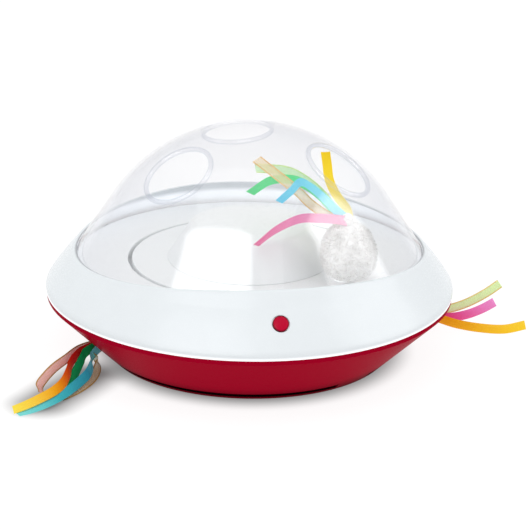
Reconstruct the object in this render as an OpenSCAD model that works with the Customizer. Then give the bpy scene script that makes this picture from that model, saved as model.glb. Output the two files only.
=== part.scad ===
// Motion-activated cat toy: a saucer-shaped body with a clear dome, paw holes and a whirling lure.
// Millimetres, +Z up, origin on the floor under the middle of the body, button towards -Y.

/* [Body] */
// Radius of the body at its widest
rim_r = 130.5; // [126:0.5:136]
// Height of the seam between tub and ring
seam_z = 41.5; // [39:0.5:46]
// Wall thickness of the opaque mouldings
wall = 2.5; // [2.2:0.1:2.8]
// Radius of the foot edge
foot_r = 92; // [90:0.5:95]
// How far the rubber feet stand out of the tub
foot_gap = 0.8; // [0.6:0.1:1.2]
// Straight land of the tub under the seam
tub_land = 2.8; // [2:0.1:4]
// Clearance between fixed mouldings
gap = 0.3; // [0.2:0.05:0.4]

/* [Ring] */
// Radius of the ring's spherical skin
ring_sr = 154; // [150:0.5:160]
// Rounding of the ring's rim
rim_round = 5; // [4:0.5:6]
// Straight land of the ring over the seam
ring_land = 1.9; // [1.5:0.1:2.5]
// Height of the lip over the seam at the front and back
brow_h = 36; // [34:0.5:36.5]
// Height of the lip over the seam at the two sides
side_h = 26; // [25:0.5:28]

/* [Dome] */
// Outer radius of the dome
dome_r = 106; // [105:0.25:107]
// Height of the dome's centre over the seam
dome_lift = 1; // [0:0.5:2]
// Wall thickness of the dome
dome_wall = 2.2; // [2:0.1:2.6]
// Radius of a paw hole
paw_r = 22; // [19:0.5:24]
// Slope of a paw hole's axis over the horizontal
paw_el = 55.5; // [53:0.5:58]
// Radius of the rounded bead along a paw hole
bead_r = 1.6; // [1.4:0.1:2]
// Height of the dome's seat over the seam
seat_h = 17.3; // [16.5:0.1:18]
// Height over the dome's equator, in degrees, where its round top runs into the straight flared skirt
skirt_el = 33; // [32:0.25:34]

/* [Deck and rotor] */
// Height of the track over the dome's seat
track_h = 2.2; // [1.8:0.1:2.6]
// Clearance between the turntable and the wall of the well that it runs in
well_gap = 2.5; // [1.5:0.25:3.5]
// Depth of the well
well_depth = 7; // [6.5:0.5:8]
// Radius of the turntable
disc_r = 75.5; // [73:0.5:76]
// Radius of the hub cone at its foot
hub_r = 53; // [48:0.5:55]
// Radius of the hub cone at its top
hub_top_r = 38; // [34:0.5:42]
// Height of the hub cone
hub_h = 23.5; // [20:0.5:26]
// Radius of the drive shaft
shaft_r = 3; // [2.5:0.25:3.5]
// Running clearance round a shaft
run = 0.05; // [0.03:0.01:0.08]

/* [Gear train] */
// Tooth module
gear_m = 1; // [0.9:0.05:1.05]
// Teeth of the motor pinion and of the idler's small gear
small_teeth = 12; // [12:12:12]
// Teeth of the idler's large gear
idler_teeth = 36; // [36:12:36]
// Teeth of the output gear
output_teeth = 48; // [48:12:48]
// Tooth width
tooth_w = 5; // [4:0.5:5.5]
// How much each tooth is thinned for backlash
thin = 0.35; // [0.25:0.05:0.45]
// Radius of the motor can
motor_r = 12; // [10:0.5:13]
// Length of the motor can
motor_l = 24; // [20:0.5:27]

/* [Button] */
// Radius of the button
button_r = 5; // [4.5:0.1:5.4]
// Height of the button over the seam
button_h = 19.55; // [19:0.05:20.5]
// How far the button goes in
button_travel = 1.2; // [0.8:0.1:1.4]
// How far the button stands out of the ring
button_proud = 1; // [0.6:0.1:1.4]

/* [Tassels and lure] */
// Direction of the left tassel, measured from the front
tassel_az = -77; // [-80:1:-74]
// Radius of the scoop that a tassel leaves from
scoop_r = 14; // [12:0.5:15]
// Height of the tassel's eyelet
tassel_z = 15; // [14:0.5:17]
// Bore of the tassel's grommet
grommet_r = 3.6; // [3.4:0.1:4]
// Width of a ribbon
ribbon_w = 6; // [5:0.5:6.5]
// Direction of the lure, measured from the front
lure_az = 47.5; // [40:0.5:55]
// Clearance between the lure and the dome's wall at the lure's mid-height
lure_gap = 7.05; // [6.8:0.05:10]
// Height of the plush lure
lure_h = 34.5; // [33:0.5:37]
// Width of the plush lure along its path
lure_w = 38; // [34:0.5:40]
// Width of the plush lure across its path
lure_d = 33; // [30:0.5:34]

/* [Hidden] */
$fn = 96;
eps = 0.01;
far = 400;

// Colours
red = "#a80d2c";
white = "#eef1f4";
clear_blue = [0.85, 0.9, 0.95, 0.3];
steel = "#b8bcc0";
brass = "#c8a85a";
nylon = "#e6e2d6";

// Ring skin: a sphere about a point on the axis, blended into the rim by a round
ring_cz = seam_z + ring_land - sqrt(pow(ring_sr - rim_round, 2) - pow(rim_r - rim_round, 2));
rim_turn = acos((rim_r - rim_round) / (ring_sr - rim_round));
rim_wall = 3.5;
ring_in_r = rim_r - rim_wall;
function ring_r_at(z, inset = 0) = sqrt(pow(ring_sr - inset, 2) - pow(z - ring_cz, 2));
// Lip: a large cylinder lying along Y trims the skin, high in front and behind and low at the sides
brow_z = seam_z + brow_h;
side_z = seam_z + side_h;
lip_x = ring_r_at(side_z);
// Flank: over the lip's low sides the skin leaves its sphere for a steeper straight slope up to the brow
flank_rise = 0.5;
flank_z = side_z + flank_rise;
flank_r = ring_r_at(flank_z);
flank_tilt = 35;
function flank_r_at(z) = flank_r - (z - flank_z) * tan(flank_tilt);
lip_R = (pow(lip_x, 2) + pow(brow_z - side_z, 2)) / (2 * (brow_z - side_z));

// Dome: its flared skirt is held between the ring's flank and the deck, and is wider than the ring's opening
dome_cz = seam_z + dome_lift;
seat_z = seam_z + seat_h;
function dome_r_at(z, inset = 0) = let (r = dome_r - inset, h = z - dome_cz)
    h > r * sin(skirt_el) ? sqrt(pow(r, 2) - pow(h, 2)) : (r - h * sin(skirt_el)) / cos(skirt_el);
paw_azimuths = [-60, 60, 180];
paw_depth = sqrt(pow(dome_r - dome_wall / 2, 2) - pow(paw_r, 2));
gate_r = 2;
gate_depth = 0.3;

// Deck
deck_z = seat_z + track_h;
well_r = disc_r + well_gap;
well_z = deck_z - well_depth;
deck_low = well_z - wall;
track_r = dome_r_at(deck_z, dome_wall) - gap;
deck_in = 0.8;
deck_r = dome_r_at(seat_z) - deck_in;
ear_out = 2.7;
ear_r = dome_r_at(seat_z) + ear_out;
ear_drop = 5.8;
ear_z = seat_z - ear_drop;
ear_azimuths = [45, 135, 225, 315];
ear_size = 3.2;
screw_r = 1.45;
pilot_r = 1.5;
screw_slack = 0.3;
head_r = 2.8;
head_t = 1.8;
bite = 10;
boss_bite = 4.5;
boss_size = 3.2;

// Tub
rim_step = 0.5;
tub_r = rim_r - rim_step;
tub_land_z = seam_z - tub_land;
foot_round = 1.2;
tub_slope = (tub_r - foot_r) / (tub_land_z - foot_gap - foot_round);
tub_wall = wall * sqrt(1 + pow(tub_slope, 2));
floor_z = foot_gap + wall;
tongue_h = 3;
tongue_t = 2.5;
tongue_low = 5;
function tub_r_at(z) = foot_r + tub_slope * (z - foot_gap - foot_round);
slot_z = foot_gap + 1.8;
slot_h = 3.2;
slot_spans = [[-74, 27], [43, 52], [106, 207], [223, 232]];
slot_depth = 3;
post_out = 5;
post_r = well_r + post_out;
post_size = 5.2;
deck_post_size = 4.2;
post_azimuths = [45, 135, 225, 315];
post_head_r = 3.4;
post_shoulder = 9;
pad_r = 7;
pad_t = 2;
pad_at = 79;
pad_azimuths = [0, 90, 180, 270];

// Tassel scoops, opposite each other, each a ball-shaped hollow that breaks through the tub's wall
scoop_azimuths = [tassel_az, tassel_az + 180];
scoop_out = 3.5;
scoop_at = tub_r_at(tassel_z) + scoop_out;
scoop_back = scoop_at - scoop_r;
grommet_wall = 1.4;
grommet_flange = 2;
grommet_flange_t = 1.2;
grommet_tail = 1;

// Battery bay for cells that lie along X behind the shaft
cell_r = 7.2;
cell_l = 50;
cell_pitch = 15;
cell_count = 3;
bay_y = 34;
bay_wall = 2;
cell_nub = 1.5;
cell_nub_r = 2.7;
spring_room = 4.5;
bay_l = cell_l + 2 * spring_room;
bay_w = cell_pitch * (cell_count - 1) + 2 * (cell_r + 1);
bay_top = floor_z + 2 * (cell_r + gap);
bay_mid = bay_top - cell_r - gap;
door_lip = 3;
door_t = 2;
door_tab_r = 5;
door_head_t = 0.8;
door_seat = 1;
door_screw_l = 7;
door_boss_r = 4.5;
door_boss_h = 9;
door_screw_y = bay_y - bay_w / 2 - door_lip - door_tab_r + 1;
contact_t = 0.5;
spring_r1 = 4;
spring_r2 = 2.4;
function cell_y(k) = bay_y + (k - (cell_count - 1) / 2) * cell_pitch;

// Gear train positions: output on the shaft, idler to its left, motor in front of the idler
pressure = 25;
addendum = 0.9;
dedendum = 1.25;
idler_at = [-gear_m * (output_teeth + small_teeth) / 2, 0];
motor_turn = 240;
motor_off = gear_m * (idler_teeth + small_teeth) / 2;
motor_at = idler_at + motor_off * [cos(motor_turn), sin(motor_turn)];
plate_t = 2.5;
plate_drop = 15.5;
plate_z = deck_low - plate_drop;
plate_posts = [[32, 0], [-24, 33], [-18, -42]];
plate_post_r = 4;
plate_bite = 7;
plate_edge = 2;
motor_edge = 1;
motor_cap_r = 4;
motor_cap_h = 2;
pinion_hub_r = 2.5;
pinion_hub_h = 2;
idler_hub_r = 4;
output_hub_r = 7;
gear_low = plate_z + 1;
idler_gap = 0.3;
axle_r = 2;
output_gap = 0.6;
output_low = gear_low + tooth_w + output_gap;
motor_shaft_r = 1;
bush_r = 7;
bush_flange_t = 1.2;
bush_flange_w = 2;
bush_tail = 3;
disc_boss_r = 9;
disc_skirt = 2;
shaft_tail = 1;
shaft_tip = 2;
nut_h = 4;
nut_r = 5.6;

// Button, on the axis that runs from the ring's centre of curvature through the skin
button_el = asin((seam_z + button_h - ring_cz) / ring_sr);
button_bore = button_r + gap;
button_crown = 18;
button_flange_r = button_r + 1.6;
button_flange_t = 0.8;
sleeve_len = 8;
sleeve_r = button_bore + 2;
pocket_r = button_flange_r + 0.5;
pocket_depth = 11.6;
stem_r = 2;
stem_len = 2.3;
board_t = 1.6;
switch_size = 6;
switch_h = 3.4;
plunger_r = 1.7;
plunger_gap = 0.15;
stem_tip = sleeve_len + button_flange_t + gap + stem_len;
plunger_z = stem_tip + button_travel + plunger_gap;
board_z = plunger_z + switch_h;
board_post_x = 9;
board_post_r = 2.2;
board_screw_r = 0.9;
board_head_r = 1.8;
board_head_t = 1;
board_bite = 4;
board_edge = 3.5;
board_w = 11;
plunger_h = 0.5;

// Lure: a stuffed drop on a peg, its ribbons gathered in a knot on top
peg_r = 3;
peg_flange_r = 5.5;
peg_flange_t = 2;
peg_h = 24;
peg_in = 6;
lure_low = deck_z + peg_flange_t + gap;
lure_r = dome_r_at(lure_low + lure_h / 2, dome_wall) - lure_d / 2 - lure_gap;
lure_lean = 4;
lure_rings = 16;
lure_sides = 28;
knot_r = 4.2;
knot_rise = 3;
knot_out = lure_r - lure_lean;
knot_at = [knot_out * sin(lure_az), -knot_out * cos(lure_az), lure_low + lure_h + knot_rise];
ribbon_t = 0.4;

// Ribbon routes: the first points sit in the knot or the grommet, the rest lead to the cut end
function knot_start(x, y) = [knot_at + [x, y, 0]];
function grommet_start(azimuth, shift) = [for (r = [scoop_back - 2, scoop_back + 4])
    [r * sin(azimuth) + shift * cos(azimuth), shift * sin(azimuth) - r * cos(azimuth), tassel_z]];
left_az = scoop_azimuths[0];
right_az = scoop_azimuths[1];
route_lure_pink = concat(knot_start(0, -3.2),
    [[45, -52, 102.5], [34, -51.5, 103.5], [22, -50.5, 103], [8, -49, 96], [-4, -48, 86]]);
route_lure_cyan = concat(knot_start(0, -1.8),
    [[46, -48, 107], [39, -46, 114], [31, -44, 121], [24, -43, 124.5], [18, -43.5, 119], [10.5, -44, 112.5]]);
route_lure_gold = concat(knot_start(0, -0.5),
    [[43, -46.5, 102], [31.5, -41, 109], [23, -37, 117], [11, -31, 126], [-1, -26, 135]]);
route_lure_green = concat(knot_start(0, 0.8),
    [[46, -43.5, 105.5], [38, -38, 113.5], [30, -34, 119], [21, -30, 122], [8, -27, 121], [-4.5, -24, 112]]);
route_lure_lime = concat(knot_start(0, 2.1),
    [[46.5, -42, 105], [38, -34.5, 114.5], [29, -29, 121.5], [18, -23.5, 126], [0, -16, 126]]);
route_lure_yellow = concat(knot_start(2, 3.8),
    [[54, -38.5, 105], [49, -30, 111.5], [46.5, -20, 118], [47, -10, 124], [47.5, 0, 130]]);
route_left_organza = concat(grommet_start(left_az, -1.6),
    [[-112, -31, 16.5], [-122, -42, 16], [-132, -57, 14.5], [-139, -68, 12], [-142, -78, 8]]);
route_left_orange = concat(grommet_start(left_az, -0.8),
    [[-110, -33.5, 15.5], [-118, -42, 15], [-124, -53, 12.5],
        [-130, -67, 9], [-143, -81, 5], [-159, -93, 3.5]]);
route_left_green = concat(grommet_start(left_az, 0),
    [[-107, -36, 14.5], [-113, -46, 13], [-118, -57, 10],
        [-124, -69, 5.5], [-132, -81, 2.2], [-141, -91, 1]]);
route_left_cyan = concat(grommet_start(left_az, 0.8),
    [[-104.5, -36, 13.5], [-106.5, -47, 11], [-113, -58, 8.5],
        [-124, -74, 5.5], [-137, -87, 3], [-155, -98, 1]]);
route_left_gold = concat(grommet_start(left_az, 1.6),
    [[-102, -36, 12], [-102.5, -48, 7.5], [-106.5, -61, 4], [-113.5, -70, 2], [-122, -81, 1]]);
route_right_green = concat(grommet_start(right_az, 0.9),
    [[112, 26, 11.5], [125, 25.5, 9.5], [138, 24.5, 10], [150, 24, 13.5], [162, 23, 20], [172, 22.5, 27]]);
route_right_pink = concat(grommet_start(right_az, 0),
    [[112, 23.5, 10.5], [125, 21, 7], [138, 19, 6], [149, 17.5, 8], [159, 16.5, 12], [167, 15, 17]]);
route_right_orange = concat(grommet_start(right_az, -0.9),
    [[112, 20.5, 10], [126, 16.5, 8], [140, 9.5, 5], [155, 2.5, 4], [170, -1.5, 4], [184, -2, 6.5]]);

// Shared helpers
module spin(azimuth) rotate([0, 0, azimuth]) children();
module around(azimuths, radius) for (a = azimuths) spin(a) translate([0, -radius, 0]) children();
module tube(r, hole, h) difference() {
    cylinder(r = r, h = h);
    translate([0, 0, -eps]) cylinder(r = hole, h = h + 2 * eps);
}
// What lies outside a round of radius r between two directions from its centre
module round_corner(r, from, to) difference() {
    polygon([[0, 0], 2 * r * [cos(from), sin(from)], 3 * r * [cos((from + to) / 2), sin((from + to) / 2)],
        2 * r * [cos(to), sin(to)]]);
    circle(r = r);
}
module at_paw(azimuth) spin(azimuth) translate([0, 0, dome_cz]) rotate([90 - paw_el, 0, 0]) children();
module at_button() translate([0, 0, ring_cz]) rotate([90 - button_el, 0, 0])
    translate([0, 0, ring_sr]) children();
module at_lure() spin(lure_az) translate([0, -lure_r, 0]) children();
module screw(shank, length) {
    translate([0, 0, -head_t]) cylinder(r = head_r, h = head_t);
    cylinder(r = shank, h = length);
}

// Involute gear: half tooth angle at radius r, from the tooth's thickness at the pitch circle
function involute(a) = tan(a) - a * PI / 180;
function half_tooth(r, n) =
    let (pitch = gear_m * n / 2, base = pitch * cos(pressure), width = PI * gear_m / 2 - thin)
    (width / (2 * pitch) + involute(pressure) - involute(acos(min(1, base / r)))) * 180 / PI;
function gear_outline(n) =
    let (pitch = gear_m * n / 2, base = pitch * cos(pressure), tip = pitch + addendum * gear_m,
        root = pitch - dedendum * gear_m, start = max(base, root), radii = [start, (start + tip) / 2, tip])
    [for (k = [0:n - 1]) let (a = k * 360 / n) each concat(
        root < start ? [root * [cos(a - half_tooth(start, n)), sin(a - half_tooth(start, n))]] : [],
        [for (r = radii) r * [cos(a - half_tooth(r, n)), sin(a - half_tooth(r, n))]],
        [for (i = [2:-1:0]) radii[i] * [cos(a + half_tooth(radii[i], n)), sin(a + half_tooth(radii[i], n))]],
        root < start ? [root * [cos(a + half_tooth(start, n)), sin(a + half_tooth(start, n))]] : [])];
module gear(n, h) linear_extrude(height = h) polygon(gear_outline(n));

// Ribbon: a thin strip along its route, its width turning steadily from one lay to another
function unit(v) = v / norm(v);
module ribbon(route, lay_from, lay_to) {
    last = len(route) - 1;
    points = [for (i = [0:last]) let (
        along = unit(route[min(i + 1, last)] - route[max(i - 1, 0)]),
        lay = lay_from + (lay_to - lay_from) * i / last,
        across = unit(lay - (lay * along) * along),
        w = across * ribbon_w / 2,
        t = cross(along, across) * ribbon_t / 2)
        each [route[i] + w + t, route[i] - w + t, route[i] - w - t, route[i] + w - t]];
    sides = [for (i = [0:last - 1]) for (k = [0:3]) let (a = 4 * i + k, b = 4 * i + (k + 1) % 4)
        each k == 2 ? [[a, b, a + 4], [b, b + 4, a + 4]] : [[a, b, b + 4], [a, b + 4, a + 4]]];
    e = 4 * last;
    polyhedron(points, concat(sides, [[0, 2, 1], [0, 3, 2], [e, e + 1, e + 2], [e, e + 2, e + 3]]));
}

// Base tub: the red lower moulding
module tub_solid() rotate_extrude() polygon([[0, foot_gap], [foot_r - foot_round, foot_gap],
    [foot_r, foot_gap + foot_round], [tub_r, tub_land_z], [tub_r, seam_z], [0, seam_z]]);
module tub_hollow() rotate_extrude() polygon([[0, floor_z], [tub_r_at(floor_z) - tub_wall, floor_z],
    [tub_r - tub_wall, tub_land_z], [tub_r - tub_wall, seam_z + 1], [0, seam_z + 1]]);
module tub_tongue() rotate_extrude() translate([ring_in_r - gap - tongue_t, seam_z - tongue_low])
    square([tongue_t, tongue_low + tongue_h]);
module tub_slots() for (s = slot_spans) spin(s[0] - 90) rotate_extrude(angle = s[1] - s[0])
    translate([tub_r_at(slot_z) - slot_depth, slot_z]) square([slot_depth + far / 10, slot_h]);
module scoops(r) around(scoop_azimuths, scoop_at) translate([0, 0, tassel_z]) sphere(r = r);
module bay_box(grow, h) translate([0, bay_y, 0]) linear_extrude(height = h)
    square([bay_l + 2 * grow, bay_w + 2 * grow], center = true);
module door_outline(inset) {
    lip = 2 * (door_lip - inset);
    translate([0, bay_y]) square([bay_l + lip, bay_w + lip], center = true);
    translate([0, door_screw_y]) circle(r = door_tab_r - inset);
    translate([inset - door_tab_r, door_screw_y]) square([2 * (door_tab_r - inset), door_tab_r + 1]);
}
module at_grommets() around(scoop_azimuths, scoop_back)
    translate([0, 0, tassel_z]) rotate([-90, 0, 0]) children();
module base_tub() color(red) difference() {
    union() {
        difference() {
            tub_solid();
            tub_hollow();
        }
        tub_tongue();
        intersection() {
            tub_solid();
            scoops(scoop_r + wall);
        }
        around(post_azimuths, post_r) translate([0, 0, floor_z - eps])
            cylinder(r = post_size, h = seam_z - floor_z + eps);
        translate([0, 0, floor_z - eps]) bay_box(bay_wall, bay_top + bay_wall - floor_z + eps);
        translate([0, door_screw_y, floor_z - eps]) cylinder(r = door_boss_r, h = door_boss_h);
    }
    tub_slots();
    scoops(scoop_r);
    at_grommets() {
        translate([0, 0, -wall]) cylinder(r = grommet_r + grommet_wall + run, h = 3 * wall);
        translate([0, 0, -wall]) cylinder(r = grommet_r + grommet_flange + gap, h = wall);
    }
    around(post_azimuths, post_r) {
        cylinder(r = post_head_r, h = seam_z - post_shoulder);
        cylinder(r = pilot_r + screw_slack, h = seam_z + 1);
    }
    bay_box(0, bay_top);
    linear_extrude(height = foot_gap + door_t) door_outline(0);
    translate([0, door_screw_y, 0]) cylinder(r = pilot_r, h = floor_z + door_screw_l);
    around(pad_azimuths, pad_at) cylinder(r = pad_r + run, h = pad_t);
}

// Rubber feet, pressed into shallow seats in the tub
module rubber_feet() color("#2b2b2b") around(pad_azimuths, pad_at) cylinder(r = pad_r, h = pad_t);

// Battery door, let into the tub's underside, with a round tab for its screw
module battery_door() color(red) translate([0, 0, foot_gap]) difference() {
    linear_extrude(height = door_t) door_outline(gap);
    translate([0, door_screw_y, -eps]) cylinder(r = screw_r + screw_slack, h = door_t + 1);
    translate([0, door_screw_y, -1]) cylinder(r = head_r + screw_slack, h = 1 + door_seat);
}
module battery_door_screw() color(steel) translate([0, door_screw_y, foot_gap + door_seat]) {
    translate([0, 0, -door_head_t]) cylinder(r = head_r, h = door_head_t);
    cylinder(r = screw_r, h = door_screw_l);
}
module battery_cells() color("#3d4450") for (k = [0:cell_count - 1])
    translate([-cell_l / 2, cell_y(k), bay_mid]) rotate([0, 90, 0]) {
        cylinder(r = cell_r, h = cell_l - cell_nub);
        translate([0, 0, cell_l - cell_nub]) cylinder(r = cell_nub_r, h = cell_nub);
    }
module battery_contacts() color(steel) for (side = [-1, 1]) {
    translate([side * (bay_l - contact_t) / 2, bay_y, bay_mid])
        cube([contact_t, bay_w - 2, 2 * cell_r - 3], center = true);
    for (k = [0:cell_count - 1])
        translate([side * (bay_l / 2 - contact_t), cell_y(k), bay_mid]) rotate([0, -90 * side, 0])
            cylinder(r1 = spring_r1, r2 = spring_r2, h = spring_room - contact_t - gap);
}

// Main board with its vibration sensor, on two bosses of the floor
board_at = [30, -42];
board_size = [44, 28];
board_boss_h = 5;
board_boss_r = 3;
board_boss_x = 16;
board_top = floor_z + board_boss_h + board_t;
chip_size = [9, 7, 1.2];
chip_at = [6, -5];
capacitor_r = 3;
capacitor_h = 8;
capacitor_at = [-14, 8];
sensor_r = 2.5;
sensor_l = 12;
sensor_at = [-4, 7];
sensor_lead_r = 0.5;
sensor_lead_l = 3;
module circuit_board() color("#1f6b3a") translate([board_at.x, board_at.y, 0]) {
    for (side = [-1, 1]) translate([side * board_boss_x, 0, floor_z])
        cylinder(r = board_boss_r, h = board_boss_h);
    translate([0, 0, board_top - board_t / 2]) cube([board_size.x, board_size.y, board_t], center = true);
    translate([chip_at.x, chip_at.y, board_top + chip_size.z / 2]) cube(chip_size, center = true);
    translate([capacitor_at.x, capacitor_at.y, board_top]) cylinder(r = capacitor_r, h = capacitor_h);
}
module motion_sensor() color(steel) translate([board_at.x, board_at.y, board_top + sensor_r + gap / 3])
    translate([sensor_at.x, sensor_at.y, 0]) rotate([0, 90, 0]) {
        cylinder(r = sensor_r, h = sensor_l);
        translate([0, 0, sensor_l]) cylinder(r = sensor_lead_r, h = sensor_lead_l);
    }

// Gearbox plate, hung from the deck on posts, with the motor under it
module mech_plate() color("#d9dde0") difference() {
    translate([0, 0, plate_z - plate_t]) linear_extrude(height = plate_t) hull() {
        for (p = plate_posts) translate(p) circle(r = plate_post_r + plate_edge, $fn = 32);
        translate(motor_at) circle(r = motor_r + motor_edge, $fn = 32);
    }
    translate([0, 0, plate_z - plate_t - eps]) {
        cylinder(r = shaft_r + run, h = plate_t + 1);
        translate(idler_at) cylinder(r = axle_r, h = plate_t + 1);
        translate(motor_at) cylinder(r = motor_shaft_r + 1, h = plate_t + 1);
        for (p = plate_posts) translate(p) cylinder(r = screw_r + screw_slack, h = plate_t + 1);
    }
}
module motor() color(steel) translate([motor_at.x, motor_at.y, plate_z - plate_t]) {
    translate([0, 0, -motor_l]) cylinder(r = motor_r, h = motor_l);
    translate([0, 0, -motor_l - motor_cap_h]) cylinder(r = motor_cap_r, h = motor_cap_h);
}
module motor_pinion() color(brass) translate([motor_at.x, motor_at.y, gear_low]) {
    rotate([0, 0, 180 / small_teeth]) gear(small_teeth, tooth_w);
    translate([0, 0, tooth_w]) cylinder(r = pinion_hub_r, h = pinion_hub_h);
    translate([0, 0, plate_z - plate_t + idler_gap - gear_low])
        cylinder(r = motor_shaft_r, h = gear_low - plate_z + plate_t);
}
module idler_axle() color(steel) translate([idler_at.x, idler_at.y, plate_z - plate_t])
    cylinder(r = axle_r, h = deck_low - plate_z + plate_t);
module idler_gear() color(nylon) translate([idler_at.x, idler_at.y, 0]) difference() {
    union() {
        translate([0, 0, plate_z + idler_gap]) cylinder(r = idler_hub_r, h = gear_low - plate_z);
        translate([0, 0, gear_low]) gear(idler_teeth, tooth_w);
        translate([0, 0, gear_low + tooth_w - eps]) rotate([0, 0, 180 / small_teeth])
            gear(small_teeth, tooth_w + output_gap + 1);
    }
    translate([0, 0, plate_z]) cylinder(r = axle_r + run, h = 4 * tooth_w);
}
module plate_screws() color(steel) for (p = plate_posts)
    translate([p.x, p.y, plate_z - plate_t]) screw(screw_r, plate_t + plate_bite);

// Deck: the fixed track, the well for the turntable and the posts that carry the gearbox
module deck_profile() polygon([[bush_r + run, deck_low], [well_r + wall, deck_low],
    [well_r + wall, deck_z - wall], [track_r - wall, deck_z - wall], [track_r - wall, seat_z - wall],
    [deck_r, seat_z - wall], [deck_r, seat_z], [track_r, seat_z], [track_r, deck_z],
    [well_r, deck_z], [well_r, well_z], [bush_r + run, well_z]]);
module track_deck() color(white) difference() {
    union() {
        rotate_extrude() deck_profile();
        around(ear_azimuths, ear_r) translate([0, 0, ear_z - wall]) {
            cylinder(r = ear_size, h = wall);
            translate([-ear_size, 0, 0]) cube([2 * ear_size, ear_r - deck_r + 2 * wall, wall]);
            translate([-ear_size, ear_r - deck_r, 0]) cube([2 * ear_size, 2 * wall, ear_drop + wall / 2]);
        }
        around(post_azimuths, post_r) translate([0, 0, seam_z])
            cylinder(r = deck_post_size, h = deck_z - wall / 2 - seam_z);
        for (p = plate_posts) translate([p.x, p.y, plate_z])
            cylinder(r = plate_post_r, h = deck_low - plate_z + eps);
    }
    around(ear_azimuths, ear_r) translate([0, 0, ear_z - wall - eps])
        cylinder(r = screw_r + screw_slack, h = wall + 1);
    around(post_azimuths, post_r) translate([0, 0, seam_z - eps]) cylinder(r = pilot_r, h = bite + 2);
    for (p = plate_posts) translate([p.x, p.y, plate_z - eps]) cylinder(r = pilot_r, h = bite);
    button_room();
}
module shaft_bush() color(brass) difference() {
    union() {
        translate([0, 0, deck_low - bush_tail]) cylinder(r = bush_r, h = well_z - deck_low + bush_tail);
        translate([0, 0, well_z]) cylinder(r = bush_r + bush_flange_w, h = bush_flange_t);
    }
    translate([0, 0, deck_low - bush_tail - 1])
        cylinder(r = shaft_r + run, h = bush_tail + wall + well_depth);
}
module deck_screws() color(steel) around(ear_azimuths, ear_r) translate([0, 0, ear_z - wall])
    screw(screw_r, wall + boss_bite);
module housing_screws() color(steel) around(post_azimuths, post_r) translate([0, 0, seam_z - post_shoulder])
    screw(screw_r, post_shoulder + bite);

// Upper ring: the white skin with its trimmed lip, bosses for the deck's screws and the button's sleeve
module ring_fill() {
    intersection() {
        translate([0, ring_cz]) circle(r = ring_sr, $fn = 720);
        translate([0, seam_z]) square([rim_r, flank_z + wall - seam_z]);
    }
    polygon([[0, flank_z - wall], [flank_r_at(flank_z - wall), flank_z - wall],
        [flank_r_at(brow_z + wall), brow_z + wall], [0, brow_z + wall]]);
}
module ring_profile() difference() {
    ring_fill();
    intersection() {
        translate([0, ring_cz]) circle(r = ring_sr - wall, $fn = 720);
        translate([0, seam_z - eps]) square([ring_in_r, brow_h]);
    }
    dome_fill(-gap, seat_z - gap);
    translate([rim_r - rim_round, seam_z + ring_land]) round_corner(rim_round, 0, rim_turn);
}
module under_skin() difference() {
    intersection() {
        translate([0, ring_cz]) circle(r = ring_sr - wall / 2, $fn = 720);
        translate([0, seam_z]) square([rim_r, brow_h]);
    }
    dome_fill(-gap, seat_z - gap);
}
module upper_ring() color(white) difference() {
    intersection() {
        union() {
            rotate_extrude() ring_profile();
            intersection() {
                around(ear_azimuths, ear_r) translate([0, 0, ear_z]) cylinder(r = boss_size, h = brow_h);
                rotate_extrude() under_skin();
            }
            at_button() {
                translate([0, 0, -sleeve_len]) cylinder(r = sleeve_r, h = sleeve_len - wall / 2);
                for (side = [-1, 1]) translate([side * board_post_x, 0, -board_z])
                    cylinder(r = board_post_r, h = board_z - wall / 2);
            }
        }
        translate([0, far / 2, brow_z - lip_R]) rotate([90, 0, 0]) cylinder(r = lip_R, h = far, $fn = 720);
    }
    around(ear_azimuths, ear_r) translate([0, 0, ear_z - eps]) cylinder(r = pilot_r, h = boss_bite + gap);
    at_button() {
        translate([0, 0, -sleeve_len - 1]) cylinder(r = button_bore, h = sleeve_len + 3);
        translate([0, 0, -pocket_depth]) cylinder(r = pocket_r, h = pocket_depth - sleeve_len);
        for (side = [-1, 1]) translate([side * board_post_x, 0, -board_z - eps])
            cylinder(r = board_screw_r + run, h = board_bite + 1);
    }
}

// Room for the button's sleeve and for the posts of its board, let into the dome's skirt and the deck
module button_room() at_button() translate([0, 0, -pocket_depth]) {
    cylinder(r = sleeve_r + gap, h = pocket_depth);
    for (side = [-1, 1]) translate([side * board_post_x, 0, 0])
        cylinder(r = board_post_r + gap, h = pocket_depth);
}

// Dome: a clear round top on a flared skirt, with three paw holes, each edged with a round bead
module dome_fill(inset, low) let (r = dome_r - inset, top = r + wall) difference() {
    polygon([[0, low], [dome_r_at(low, inset), low],
        [(r - top * sin(skirt_el)) / cos(skirt_el), dome_cz + top], [0, dome_cz + top]]);
    translate([0, dome_cz]) round_corner(r, skirt_el, 100, $fn = 360);
}
module dome_profile() difference() {
    dome_fill(0, seat_z);
    dome_fill(dome_wall, seat_z - eps);
}
module dome() color(clear_blue) difference() {
    union() {
        difference() {
            rotate_extrude() dome_profile();
            for (a = paw_azimuths) at_paw(a) cylinder(r = paw_r, h = dome_r + 10);
        }
        for (a = paw_azimuths) at_paw(a) translate([0, 0, paw_depth]) rotate_extrude()
            translate([paw_r + bead_r / 4, 0]) circle(r = bead_r);
    }
    translate([0, 0, dome_cz + dome_r - gate_depth]) cylinder(r = gate_r, h = 2);
    button_room();
}

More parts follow.
